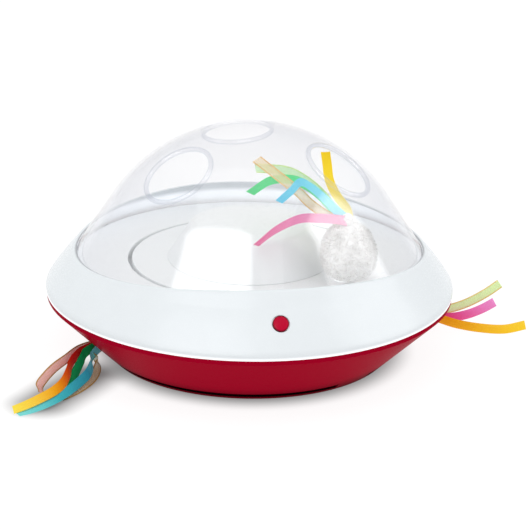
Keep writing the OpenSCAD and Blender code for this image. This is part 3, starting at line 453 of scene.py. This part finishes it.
def rounded(corners, radii, steps=6):
    """A closed outline (corners, 2) with each corner drawn round by its radius, as points along it.

    The arc's middle lies on the corner's bisector, and its points turn evenly from one tangent point to the
    other.
    """
    points = []
    t = np.linspace(0, 1, steps)[:, None]
    for i, (corner, radius) in enumerate(zip(corners, radii)):
        before, after = corners[i - 1] - corner, corners[(i + 1) % len(corners)] - corner
        before, after = before / np.linalg.norm(before), after / np.linalg.norm(after)
        half = np.arccos(np.clip(before @ after, -1, 1)) / 2
        if radius == 0:
            points.append(corner[None])
            continue
        bisector = (before + after) / np.linalg.norm(before + after)
        middle = corner + bisector * radius / np.sin(half)
        arm, arm_end = (corner + way * radius / np.tan(half) - middle for way in (before, after))
        sweep = np.pi - 2 * half
        points.append(middle + (np.sin((1 - t) * sweep) * arm + np.sin(t * sweep) * arm_end) / np.sin(sweep))
    points = np.concatenate(points)
    return np.concatenate([points, points[:1]])


def notched(profile, azimuth):
    """A profile turned about the Z axis, drawn in to where the cylinder round the button's axis begins.

    A point at radius r is off that axis by hypot(r sin a, h - r cos a sin e), where e is the axis's slant and
    h = z cos e, with z counted from the middle of the ring's sphere. The smaller root for r is the entry.
    """
    a, r, z = azimuth[:, None], profile[None, :, 0], profile[None, :, 1]
    k, h = np.cos(a) * np.sin(button_turn), (z - ring_cz) * np.cos(button_turn)
    m = np.sin(a) ** 2 + k * k
    under = (k * h) ** 2 - m * (h * h - button_room ** 2)
    in_way = (under > 0) & (np.cos(a) > front_cosine)
    entry = np.where(in_way, (k * h - np.sqrt(np.maximum(under, 0))) / m, np.inf)
    return around(np.minimum(r, entry), z, a)


deck_low, well_low, seat_low = deck_z - deck_wall, well_z - deck_wall, seat_z - deck_wall
deck_outline = rounded(np.array([
    [deck_bore, well_low], [well_r + deck_wall, well_low], [well_r + deck_wall, deck_low],
    [track_r - deck_wall, deck_low], [track_r - deck_wall, seat_low], [deck_r, seat_low], [deck_r, seat_z],
    [track_r, seat_z], [track_r, deck_z], [well_r, deck_z], [well_r, well_z], [deck_bore, well_z]]),
    [0, 0, 0, 0, 0, 0, 0, 0.3, 0.9, 0.7, 1.2, 0])
place(surface("track_deck_shell", notched(deck_outline, azimuths)), white_abs_painted_lighter, "housing", ["track_deck"])

# Turntable and hub: a flat white disc that a nut holds on the drive shaft, and a truncated cone over the nut.
# Two ABS mouldings that turn as one, with softly rounded edges.
shaft_r, boss_r, disc_r, disc_t, skirt_t, skirt_h = 3.0, 9.0, 75.5, 2.5, 2.5, 4.5
disc_low, skirt_r = deck_z - disc_t, disc_r - skirt_t
disc_outline = rounded(np.array([
    [shaft_r, well_z + 1.5], [boss_r, well_z + 1.5], [boss_r, disc_low], [skirt_r, disc_low],
    [skirt_r, deck_z - skirt_h], [disc_r, deck_z - skirt_h], [disc_r, deck_z], [shaft_r, deck_z]]),
    [0, 0.3, 0.3, 0, 0.3, 0.3, 0.7, 0])
place(surface("turntable_disc", spun(disc_outline, 240)), white_abs_painted_lighter, "rotor", ["turntable"])
hub_foot_r, hub_top_r, hub_low, hub_top, hub_wall = 53.0, 38.0, deck_z + 0.05, deck_z + 23.5, 2.5
hub_foot_t, hub_shoulder = 3.0, 1.4
hub_outline = rounded(np.array([
    [0.0, hub_top - hub_wall], [0.0, hub_top], [hub_top_r, hub_top], [hub_foot_r, hub_low],
    [hub_foot_r - hub_foot_t, hub_low], [hub_top_r - hub_shoulder, hub_top - hub_wall]]),
    [0, 0, 5.0, 0.5, 0.2, 0])
place(surface("hub_shell", spun(hub_outline, 240)), white_abs_painted_lighter, "rotor", ["hub_cone"])

# Dome: clear polystyrene, moulded thin and even, with three beaded paw holes and a flared skirt that the ring
# and the deck clamp. The eye sees a faint grey-blue where the wall is looked along, and the softboxes
# mirrored on its front.
paw_r, paw_rise, paw_azimuths, bead_r = 22.0, 55.5, (-60.0, 60.0, 180.0), 1.6
paw_axes = [facing(azimuth, paw_rise)[2] for azimuth in paw_azimuths]
dome_centre = np.array([0.0, 0.0, dome_cz])


def clear_wall(name, face, edge, milk):
    """Clear plastic: tinted from face to edge as it turns away, a share of milky scatter, and a mirror gloss.

    The wall has a trace of waves 25 mm across, and the gloss rises with the fifth power of how far the wall
    turns away.
    """
    made, tree, _ = blank(name)
    tree.nodes.clear()
    turned = add(tree, "LayerWeight", {"Blend": 0.35}).outputs["Facing"]
    tint = add(tree, "Mix", {"Factor": turned, 6: linear(face), 7: linear(edge)}, data_type="RGBA")
    where = add(tree, "TexCoord").outputs["Object"]
    wave = add(tree, "TexNoise", {"Vector": where, "Scale": 1000 / 25, "Detail": 1.0})
    dents = add(tree, "Bump", {"Height": wave, "Strength": 0.02, "Distance": 0.001})
    through = add(tree, "BsdfTransparent", {"Color": tint})
    haze = add(tree, "BsdfDiffuse", {"Color": linear("f4f7fa")})
    milky = add(tree, "MixShader", {0: milk, 1: through, 2: haze})
    mirror = add(tree, "BsdfGlossy", {"Color": linear("ffffff"), "Roughness": 0.06, "Normal": dents})
    aslant = add(tree, "LayerWeight", {"Blend": 0.5, "Normal": dents}).outputs["Facing"]
    steep = add(tree, "Math", {0: aslant, 1: 5.0}, operation="POWER")
    gloss = add(tree, "Math", {0: steep, 1: 0.9, 2: 0.04}, operation="MULTIPLY_ADD")
    add(tree, "OutputMaterial", {"Surface": add(tree, "MixShader", {0: gloss, 1: milky, 2: mirror})})
    return made


def bell(inset):
    """The dome's sphere down to skirt_turn and its cone from there to the seat, inset from the outer face.

    In front the cone ends above the cylinder that the button's sleeve takes up.
    """
    a, fall = np.linspace(0, 2 * np.pi, 361)[:, None], np.linspace(0, np.pi / 2 - skirt_turn, 81)[None]
    start = dome_cz + (dome_r - inset) * np.sin(skirt_turn)
    z = np.linspace(seat_z, start, 161)[None]
    r = dome_at(z, inset)
    over_axis = (z - ring_cz) * np.cos(button_turn) - r * np.cos(a) * np.sin(button_turn)
    in_way = (np.hypot(r * np.sin(a), over_axis) < button_room) & (np.cos(a) > front_cosine)
    foot = np.where(in_way, z + 0.1, seat_z).max(axis=1, keepdims=True)
    skirt = start + (foot - start) * np.linspace(0, 1, 31)[None, 1:]
    radii = np.concatenate([(dome_r - inset) * np.sin(fall) + 0 * a, dome_at(skirt, inset)], 1)
    heights = np.concatenate([dome_cz + (dome_r - inset) * np.cos(fall) + 0 * a, skirt], 1)
    return around(radii, heights, a)


def bead(axis):
    """A torus of radius bead_r round a paw hole, on the dome's middle sphere and a little outside the hole."""
    middle_r = dome_r - dome_wall / 2
    side = np.array([-axis[1], axis[0], 0.0]) / np.hypot(axis[0], axis[1])
    over = np.cross(axis, side)
    u = np.linspace(0, 2 * np.pi, 121)[:, None, None]
    v = np.linspace(0, 2 * np.pi, 17)[None, :, None]
    outwards = np.cos(u) * side + np.sin(u) * over
    core = dome_centre + axis * np.sqrt(middle_r ** 2 - paw_r ** 2) + outwards * (paw_r + bead_r / 4)
    return core + bead_r * (np.cos(v) * outwards + np.sin(v) * axis)


clear = clear_wall("clear polystyrene, polished", "fdfdfd", "f8f8fa", 0.025)
clear_bead = clear_wall("clear polystyrene, thick bead", "fbfbfc", "ebedf2", 0.02)
faces = [holed(bell(inset), dome_centre, paw_axes, np.arcsin(paw_r / (dome_r - inset)))
         for inset in (0.0, dome_wall)]
foot_edge = np.stack([grid[:, -1] for grid, _ in faces], 1)
place(surface("dome_shell", *faces, foot_edge), clear, "housing", ["dome"])
place(surface("dome_beads", *(bead(axis) for axis in paw_axes)), clear_bead, "housing")

# Button: a red ABS cap with a crowned top that slides in the ring's sleeve, with a dark gap round it.
# Painted shade darkens its rounded edge towards the gap. A flange behind it stops it in the sleeve.
crown, cap_round, crown_rise, flange_r, flange_z, cap_foot = 18.0, 0.5, 1.0, 6.6, -8.3, -9.1
button_abs = moulded("button ABS, polished moulding", "bc0430", 0.22, 0.06)
tree = button_abs.node_tree
where = add(tree, "TexCoord").outputs["Object"]
slope_up = (0, np.sin(button_turn), np.cos(button_turn))
climbed = add(tree, "VectorMath", {0: where, 1: slope_up}, operation="DOT_PRODUCT")
over = add(tree, "Math", {0: climbed, 1: ring_cz * np.cos(button_turn) * mm}, operation="SUBTRACT")
across = add(tree, "CombineXYZ", {0: add(tree, "SeparateXYZ", {0: where}), 1: over})
off_axis = add(tree, "VectorMath", {0: across}, operation="LENGTH")
# Painted shade in 3a0010, growing over the last millimetre to the cap's edge.
painted_edge_shade = add(tree, "MapRange", {"Value": off_axis, "From Min": (button_r - 1) * mm,
                                    "From Max": button_r * mm, "To Min": 0.0, "To Max": 0.85})
paint_shade(button_abs, painted_edge_shade, "3a0010")
lean = np.linspace(0, np.arcsin((button_r - cap_round) / crown), 12)
brow = np.stack([crown * np.sin(lean), crown_rise - crown + crown * np.cos(lean)], 1)
cap_edge = np.stack([button_r - cap_round + cap_round * np.sin(quarter),
                     brow[-1, 1] - cap_round + cap_round * np.cos(quarter)], 1)
cap_outline = np.concatenate([brow, cap_edge, [[button_r, flange_z], [flange_r, flange_z],
                                               [flange_r, cap_foot], [0.0, cap_foot]]])
place(surface("button_cap", from_button(spun(cap_outline))), button_abs, "button", ["power_button"])

# Plush lure: short-pile plush sewn into a stuffed drop and slipped over a peg on the turntable.
# The eye sees an off-white, deep pile in tufts 2 mm across, which catches light at its rim, with painted
# shade darkening its pits.
lure_turn, lure_r, lure_low = np.radians(47.5), 75.5, deck_z + 2.3
lure_h, lure_w, lure_d, lure_lean = 34.5, 38.0, 33.0, 4.0
pile_count, pile_short, pile_long, pile_sunk, blade_foot, blade_tip = 9000, 1.2, 2.6, 0.8, 0.22, 0.06
plush, tree, skin = blank("off-white plush, short pile")
where = add(tree, "TexCoord").outputs["Object"]
tufts = add(tree, "TexVoronoi", {"Vector": where, "Scale": 1000 / 2.2})
clumps = add(tree, "TexNoise", {"Vector": where, "Scale": 1000 / 5, "Detail": 4.0})
pale = add(tree, "Mix", {"Factor": clumps, 6: linear("f1efec"), 7: linear("ffffff")}, data_type="RGBA")
# Painted shade in b4b2ae at the edges of the tufts.
painted_pit_shade = add(tree, "MapRange", {"Value": tufts, "From Min": 0.5, "From Max": 0.8, "To Min": 0.0, "To Max": 0.4})
pile_with_painted_shade = add(tree, "Mix", {"Factor": painted_pit_shade, 6: pale, 7: linear("b4b2ae")}, data_type="RGBA")
pile = add(tree, "Bump", {"Height": tufts, "Strength": 0.5, "Distance": 0.001})
wire(tree, skin, {"Base Color": pile_with_painted_shade, "Normal": pile, "Roughness": 0.95, "Specular IOR Level": 0.1,
                  "Sheen Weight": 0.5, "Sheen Roughness": 0.6})
rng = np.random.default_rng(7)


def at_lure(points):
    """Points in the lure's frame, with Y towards the shaft, into the part's frame."""
    x, y, z = np.moveaxis(points, -1, 0)
    y = y - lure_r
    c, s = np.cos(lure_turn), np.sin(lure_turn)
    return np.stack([x * c - y * s, x * s + y * c, z + lure_low], -1)


def drop(u, v, proud=0.0):
    """The stuffed drop: rings whose size is sin(pi v)^0.6 (1.05 - 0.28 v^2), leaning towards the shaft."""
    size = np.sin(np.pi * v) ** 0.6 * (1.05 - 0.28 * v * v)
    return np.stack(np.broadcast_arrays(
        (lure_w / 2 + proud) * size * np.cos(u), (lure_d / 2 + proud) * size * np.sin(u) + lure_lean * v,
        lure_h * (1 - np.cos(np.pi * v)) / 2), -1)


def tufted(u, v):
    """How far the pile stands proud in millimetres: sums of waves whose crests break it into clumps."""
    lumps = np.zeros_like(u + v)
    for scale, height in ((5, 0.45), (9, 0.35), (17, 0.3), (31, 0.22)):
        for _ in range(4):
            k, m, p, q = rng.integers(1, scale + 1), rng.uniform(-1, 1) * scale, *rng.uniform(0, 6.28, 2)
            lumps += height / 2 * np.sin(k * u + p) * np.sin(m * np.pi * v + q)
    return lumps


def tuft_blades(count):
    """Blades (n, 2, 2, 3) of pile on the drop: narrow tapered quads that stand off it at random slants.

    Those that would reach below the drop are left out.
    """
    u, v = rng.uniform(0, 2 * np.pi, count), np.arccos(rng.uniform(-0.98, 0.98, count)) / np.pi
    root = drop(u, v, -pile_sunk)
    way = drop(u, v, 1.0) - root + rng.normal(0, 0.35, (count, 3))
    way /= np.linalg.norm(way, axis=1)[:, None]
    side = np.cross(way, rng.normal(0, 1, (count, 3)))
    side /= np.linalg.norm(side, axis=1)[:, None]
    tip = root + way * rng.uniform(pile_short, pile_long, count)[:, None]
    blades = np.stack([np.stack([root - blade_foot * side, root + blade_foot * side], 1),
                       np.stack([tip - blade_tip * side, tip + blade_tip * side], 1)], 2)
    return blades[blades[..., 2].min(axis=(1, 2)) > -0.2]


u, v = np.linspace(0, 2 * np.pi, 181)[:, None], np.linspace(0.0, 1.0, 121)[None]
stuffed = drop(u, v, tufted(u, v) - 0.6)
lure = place(surface("lure_plush", at_lure(stuffed), crease=180), plush, "rotor", ["lure_body"])
place(surface("lure_pile", at_lure(tuft_blades(pile_count)), crease=180), plush, "rotor")

# Knot: the plush gathered over the ribbons' ends and bound with thread.
# A small ball with nine shallow pleats and a waist under the thread. The white peg that carries the lure is
# moulded ABS.
knot_r, knot_rise, knot_out = 4.2, 3.0, lure_r - lure_lean
knot_at = np.array([knot_out * np.sin(lure_turn), -knot_out * np.cos(lure_turn),
                    lure_low + lure_h + knot_rise])
u, v = np.linspace(0, 2 * np.pi, 97)[:, None], np.linspace(0, np.pi, 33)[None]
pleat, waist = 1 - 0.05 * np.cos(9 * u) * np.sin(v) ** 2, 1 - 0.1 * np.exp(-((v - 1.7) / 0.2) ** 2)
size = knot_r * pleat * waist
ball = knot_at + np.stack([size * np.sin(v) * np.cos(u), size * np.sin(v) * np.sin(u), size * np.cos(v)], -1)
place(surface("lure_knot_gathered", ball, crease=180), plush, "rotor", ["lure_knot"])
coat(white_abs, "lure_peg")

# Ribbons of the lure: six lengths of stock 6 mm ribbon, cut by hand and bound into the knot.
# Satin has a close weave and a soft gloss across its width. Organza is sheer, with a metallic thread along
# both edges.
ribbon_w, ribbon_t, ribbon_crown, cut_run = 6.0, 0.3, 0.25, 6.0
weft_gap, net_gap, hem_w, hem_fade = 0.4, 0.7, 0.6, 0.3


def satin(name, stops):
    """Woven satin: its colour runs through stops (millimetres along it, code), with slubs 0.8 mm long.

    The weft is drawn coarser than it is, and still shows only from close by, as a change in the gloss.
    """
    made, tree, skin = blank(name)
    chart = add(tree, "UVMap", uv_map="chart")
    run = add(tree, "SeparateXYZ", {0: chart}).outputs["Y"]
    share = add(tree, "Math", {0: run, 1: stops[-1][0]}, operation="DIVIDE")
    ramp = add(tree, "ValToRGB", {"Fac": share})
    while len(ramp.color_ramp.elements) < len(stops):
        ramp.color_ramp.elements.new(0.5)
    for element, (at, code) in zip(ramp.color_ramp.elements, stops):
        element.position, element.color = at / stops[-1][0], linear(code)
    weft_turns = add(tree, "Math", {0: run, 1: 2 * np.pi / weft_gap}, operation="MULTIPLY")
    weft = add(tree, "Math", {0: weft_turns}, operation="SINE")
    slubs = add(tree, "TexNoise", {"Vector": chart, "Scale": 1.2, "Detail": 3.0})
    worn = add(tree, "Mix", {"Factor": slubs, 6: (0.86, 0.86, 0.86, 1), 7: (1.06, 1.06, 1.06, 1)},
               data_type="RGBA")
    dyed = add(tree, "Mix", {"Factor": 1.0, 6: ramp, 7: worn}, data_type="RGBA", blend_type="MULTIPLY")
    gloss = add(tree, "MapRange", {"Value": slubs, "To Min": 0.34, "To Max": 0.5})
    threads = add(tree, "Bump", {"Height": weft, "Strength": 0.15, "Distance": 0.0001})
    wire(tree, skin, {"Base Color": dyed, "Roughness": gloss, "Normal": threads, "Specular IOR Level": 0.2,
                      "Anisotropic": 0.4})
    return made


def organza(name, code, edge, cover):
    """Sheer organza: a net of threads that covers this share, and an opaque metallic thread at each edge.

    The real net is finer: it is drawn as coarse as it needs to show from close by, with glints 0.4 mm long.
    """
    made, tree, skin = blank(name)
    chart = add(tree, "UVMap", uv_map="chart")
    spot = add(tree, "SeparateXYZ", {0: chart})
    from_middle = add(tree, "Math", {0: spot, 1: ribbon_w / 2}, operation="SUBTRACT")
    off_middle = add(tree, "Math", {0: from_middle}, operation="ABSOLUTE")
    hem = add(tree, "MapRange", {"Value": off_middle, "From Min": ribbon_w / 2 - hem_w - hem_fade,
                                 "From Max": ribbon_w / 2 - hem_w})
    waves = []
    for axis in "XY":
        turns = add(tree, "Math", {0: spot.outputs[axis], 1: 2 * np.pi / net_gap}, operation="MULTIPLY")
        waves.append(add(tree, "Math", {0: turns}, operation="SINE"))
    net = add(tree, "Math", dict(enumerate(waves)), operation="MAXIMUM")
    threads = add(tree, "MapRange", {"Value": net, "From Min": -0.6, "From Max": 1.0, "To Min": cover * 0.55,
                                     "To Max": min(1.0, cover * 1.35)})
    seen = add(tree, "Math", {0: threads, 1: hem}, operation="MAXIMUM")
    dyed = add(tree, "Mix", {"Factor": hem, 6: linear(code), 7: linear(edge)}, data_type="RGBA")
    glints = add(tree, "TexNoise", {"Vector": chart, "Scale": 1 / 0.4, "Detail": 2.0})
    gloss = add(tree, "MapRange", {"Value": glints, "From Min": 0.3, "From Max": 0.7,
                                   "To Min": 0.25, "To Max": 0.55})
    wire(tree, skin, {"Base Color": dyed, "Alpha": seen, "Roughness": gloss, "Specular IOR Level": 0.3})
    return made


def strip(name, route, lay_from, lay_to, skew):
    """A ribbon along a smooth curve through its route, its width turning steadily from one lay to the other.

    The curve is a cubic between each two points, with its slopes set by their neighbours. Each cross-section
    is a thin, slightly crowned strip, and both cut ends close; the far one is cut askew by skew. Returns the
    mesh, the middle line and its length.
    """
    route, last = np.array(route, float), len(route) - 1
    ends = np.concatenate([2 * route[:1] - route[1:2], route, 2 * route[-1:] - route[-2:-1]])
    s = np.linspace(0, last, 24 * last + 1)
    i = np.minimum(s.astype(int), last - 1)
    t = (s - i)[:, None]
    p0, p1, p2, p3 = (ends[i + k] for k in range(4))
    line = 0.5 * (2 * p1 + (p2 - p0) * t + (2 * p0 - 5 * p1 + 4 * p2 - p3) * t ** 2
                  + (3 * p1 - p0 - 3 * p2 + p3) * t ** 3)
    run = np.concatenate([[0], np.cumsum(np.linalg.norm(np.diff(line, axis=0), axis=1))])
    along = np.gradient(line, axis=0)
    along /= np.linalg.norm(along, axis=1)[:, None]
    lay = np.array(lay_from) + (np.array(lay_to) - np.array(lay_from)) * (s / last)[:, None]
    across = lay - np.sum(lay * along, 1)[:, None] * along
    across /= np.linalg.norm(across, axis=1)[:, None]
    face = np.cross(along, across)
    x = np.concatenate([np.linspace(-1, 1, 9), np.linspace(1, -1, 9)])
    level = np.repeat([0.5, -0.5], 9) * ribbon_t
    level[[0, 8, 9, 17]] = 0.0
    thick = np.ones(len(s))
    thick[[0, -1]] = 0.0
    slant = skew * np.clip((run - run[-1] + cut_run) / cut_run, 0, 1)[:, None] * x
    lift = level * thick[:, None] + ribbon_crown * (1 - x ** 2)
    grid = (line[:, None] + across[:, None] * x[:, None] * ribbon_w / 2 + face[:, None] * lift[..., None]
            + along[:, None] * slant[..., None])
    chart = np.stack(np.broadcast_arrays((x + 1) * ribbon_w / 2, run[:, None]), -1)
    return surface(name, grid, chart=chart, crease=60), line, run[-1]


def tie(node, body, cloth, route, lay_from, lay_to, skew=0.0):
    mesh, line, length = strip(node + "_woven", route, lay_from, lay_to, skew)
    made = place(mesh, cloth, body, [node])


def from_knot(x, y, *points):
    """A lure ribbon's route: from the knot, offset within it, through the points."""
    return [knot_at + [x, y, 0], *points]


upright, sideways = (0.06, 0.34, 0.94), (1, -0.16, 0)
tie("lure_ribbon_pink", "rotor",
    satin("pink satin, woven", [(0, "f9b4d2"), (31.2, "f57fb8"), (62.5, "e8438f")]),
    from_knot(0, -3.2, [45, -52, 102.5], [34, -51.5, 103.5], [22, -50.5, 103], [8, -49, 96], [-4, -48, 86]),
    upright, (0.4, 0.8, 0.5), 1.5)
tie("lure_ribbon_cyan", "rotor",
    satin("cyan satin, woven", [(0, "a8f2ff"), (31.1, "6be3fb"), (56.6, "3fcbf0")]),
    from_knot(0, -1.8, [46, -48, 107], [39, -46, 114], [31, -44, 121], [24, -43, 124.5], [18, -43.5, 119],
              [10.5, -44, 112.5]),
    upright, (-0.2, 0.9, 0.4), 1.0)
tie("lure_ribbon_gold", "rotor", organza("gold organza, woven", "ffe6b0", "f0be6c", 0.42),
    from_knot(0, -0.5, [43, -46.5, 102], [31.5, -41, 109], [23, -37, 117], [11, -31, 126], [-1, -26, 135]),
    upright, upright, -1.0)
tie("lure_ribbon_green", "rotor",
    satin("green satin, woven", [(0, "7cf5ae"), (43.1, "35f08c"), (71.8, "22d878")]),
    from_knot(0, 0.8, [46, -43.5, 105.5], [38, -38, 113.5], [30, -34, 119], [21, -30, 122], [8, -27, 121],
              [-4.5, -24, 112]),
    upright, (0.1, 0.7, 0.7), 2.0)
tie("lure_ribbon_lime", "rotor", organza("lime organza, woven", "c9f7b4", "c8e88a", 0.5),
    from_knot(0, 2.1, [46.5, -42, 105], [38, -34.5, 114.5], [29, -29, 121.5], [18, -23.5, 126],
              [0, -16, 126]),
    upright, (0.1, 0.6, 0.8), 1.0)
tie("lure_ribbon_yellow", "rotor",
    satin("yellow satin, woven", [(0, "fff0a8"), (24.7, "ffe030"), (54.8, "ffd60e")]),
    from_knot(2, 3.8, [54, -38.5, 105], [49, -30, 111.5], [46.5, -20, 118], [47, -10, 124], [47.5, 0, 130]),
    sideways, sideways)

# Tassels: satin and organza ribbons that leave the tub through a grommet in each of its two scoops.
# The left one bunches and droops to the floor, the right one springs out level.
tassel_azimuths, tassel_z, scoop_back = np.radians([-77.0, 103.0]), 15.0, 94.959
left, right = 0, 1


def from_grommet(side, shift, *points):
    """A tassel ribbon's route: two points along the grommet's bore, shifted across it, then the points."""
    c, s = np.cos(tassel_azimuths[side]), np.sin(tassel_azimuths[side])
    bore = [[r * s + shift * c, shift * s - r * c, tassel_z] for r in (scoop_back - 2, scoop_back + 4)]
    return [*bore, *points]


down, laid, raised = (0, 0, -1), (0.6, -0.8, 0), (0, 0, 1)
tie("left_ribbon_organza", "housing",
    organza("pink organza, woven", "f6beb2", "b4863c", 0.66),
    from_grommet(left, -1.6, [-112.3, -29.3, 14.5], [-122.5, -43.7, 14], [-130.9, -53.9, 12.5],
                 [-137.5, -62.2, 9.5], [-141.1, -68.1, 6.8], [-140.1, -74, 4.2]),
    down, (0.6, -0.4, -0.6))
tie("left_ribbon_orange", "housing",
    satin("flame satin, woven", [(0, "c81616"), (38.8, "d81e18"), (56.1, "f0621a"), (75.5, "fbb014"),
                                 (107.8, "ffe648")]),
    from_grommet(left, -0.8, [-109.9, -30, 14], [-116.1, -39, 13.5], [-120, -47.4, 12], [-122.5, -57, 10],
                 [-126.6, -68, 8], [-133.6, -77.8, 6.8], [-142.9, -85.7, 5.6], [-151.2, -90.8, 4.2],
                 [-159.4, -94.7, 3]),
    down, (0.55, -0.7, -0.4), 1.0)
tie("left_ribbon_green", "housing",
    satin("deep green satin, woven", [(0, "0ca85a"), (55.2, "14b468"), (92.0, "1cc078")]),
    from_grommet(left, 0, [-108.3, -30.3, 13], [-112.1, -36.7, 10], [-116, -44.3, 6.5], [-120.1, -53.7, 3.8],
                 [-125, -63, 2.2], [-131.1, -72.7, 1.2], [-137.7, -82, 0.8], [-143.9, -89.7, 0.7]),
    down, laid)
tie("left_ribbon_cyan", "housing",
    satin("turquoise satin, woven", [(0, "8cf2fc"), (27.8, "78e8f6"), (38.5, "34b4d0"), (74.9, "3cbcc6"),
                                     (107.0, "7ce2de")]),
    from_grommet(left, 0.8, [-105.4, -35.7, 12], [-106.5, -43.3, 9], [-109.8, -51.4, 6.4],
                 [-115.7, -59.9, 4.8], [-122.8, -70, 4], [-130.8, -79.9, 3.2], [-140.1, -88.4, 2.3],
                 [-149, -93.8, 1.4], [-156.9, -97, 0.9]),
    down, laid)
tie("left_ribbon_gold", "housing", organza("gold organza, laid", "cdbd92", "a8843a", 0.5),
    from_grommet(left, 1.6, [-103.7, -31.7, 12], [-101.8, -37.2, 8], [-103.8, -44.2, 4.5],
                 [-108.4, -52.5, 2.4], [-115.6, -62.3, 1.4], [-122.5, -69.9, 0.9], [-129.3, -76.5, 0.7]),
    down, laid)
tie("right_ribbon_green", "housing",
    organza("light green organza, woven", "dcf6a2", "e4cc78", 0.62),
    from_grommet(right, 0.9, [112, 26, 11.5], [125, 25.5, 9.5], [138, 24.5, 10], [150, 24, 13.5],
                 [162, 23, 20], [172, 22.5, 27]),
    raised, upright)
tie("right_ribbon_pink", "housing",
    satin("magenta satin, woven", [(0, "d8104e"), (36.5, "e62a72"), (56.7, "f05cb0"), (81.0, "f894da")]),
    from_grommet(right, 0, [112, 23.5, 10.5], [125, 21, 7], [138, 19, 6], [149, 17.5, 8], [159, 16.5, 12],
                 [167, 15, 17]),
    raised, upright)
tie("right_ribbon_orange", "housing",
    satin("amber satin, woven", [(0, "f57a08"), (34.8, "fb9c06"), (59.6, "ffb80a"), (99.4, "ffd424")]),
    from_grommet(right, -0.9, [112, 20.5, 10], [126, 16.5, 8], [140, 9.5, 5], [155, 2.5, 4], [170, -1.5, 4],
                 [184, -2, 6.5]),
    raised, upright)

# Inner works and small hardware: mostly out of sight, screwed or pressed in, each in its own finish.
# Zinc plate, brass, nylon, laminate and rubber, all with a little unevenness in their polish.


def plain(name, code, metal, rough, scale):
    """A hardware finish: one colour, this share of metal, and a polish that wavers over scale millimetres."""
    made, tree, skin = blank(name)
    where = add(tree, "TexCoord").outputs["Object"]
    grain = add(tree, "TexNoise", {"Vector": where, "Scale": 1000 / scale, "Detail": 4.0})
    tone = linear(code)
    deep = tuple(c * 0.85 for c in tone[:3]) + (1.0,)
    tint = add(tree, "Mix", {"Factor": grain, 6: deep, 7: tone}, data_type="RGBA")
    polish = add(tree, "MapRange", {"Value": grain, "To Min": rough * 0.75, "To Max": rough * 1.25})
    wire(tree, skin, {"Base Color": tint, "Roughness": polish, "Metallic": metal})
    return made


coat(plain("zinc-plated steel", "b9bdc2", 1.0, 0.35, 1.5), "battery_door_screw", "battery_contacts",
     "motion_sensor", "motor", "idler_axle", "plate_screws", "deck_screws", "housing_screws",
     "button_board_screws", "drive_shaft", "shaft_nut")
coat(plain("turned brass", "c8a85a", 1.0, 0.3, 1.0), "motor_pinion", "shaft_bush")
coat(plain("natural nylon, moulded", "e6e2d6", 0.0, 0.5, 2.0), "idler_gear", "output_gear")
coat(plain("grey plastic, moulded", "d9dde0", 0.0, 0.5, 2.0), "mech_plate")
coat(plain("green board laminate", "1f6b3a", 0.0, 0.4, 3.0), "circuit_board", "button_board")
coat(plain("black switch plastic", "26282b", 0.0, 0.5, 1.0), "tact_switch")
coat(plain("battery jacket, printed foil", "3d4450", 0.3, 0.35, 4.0), "battery_cells")
coat(plain("black rubber, moulded", "2b2b2b", 0.0, 0.8, 1.5), "rubber_feet")
coat(plain("dark red plastic, moulded", "7d0820", 0.0, 0.45, 2.0), "tassel_grommets")
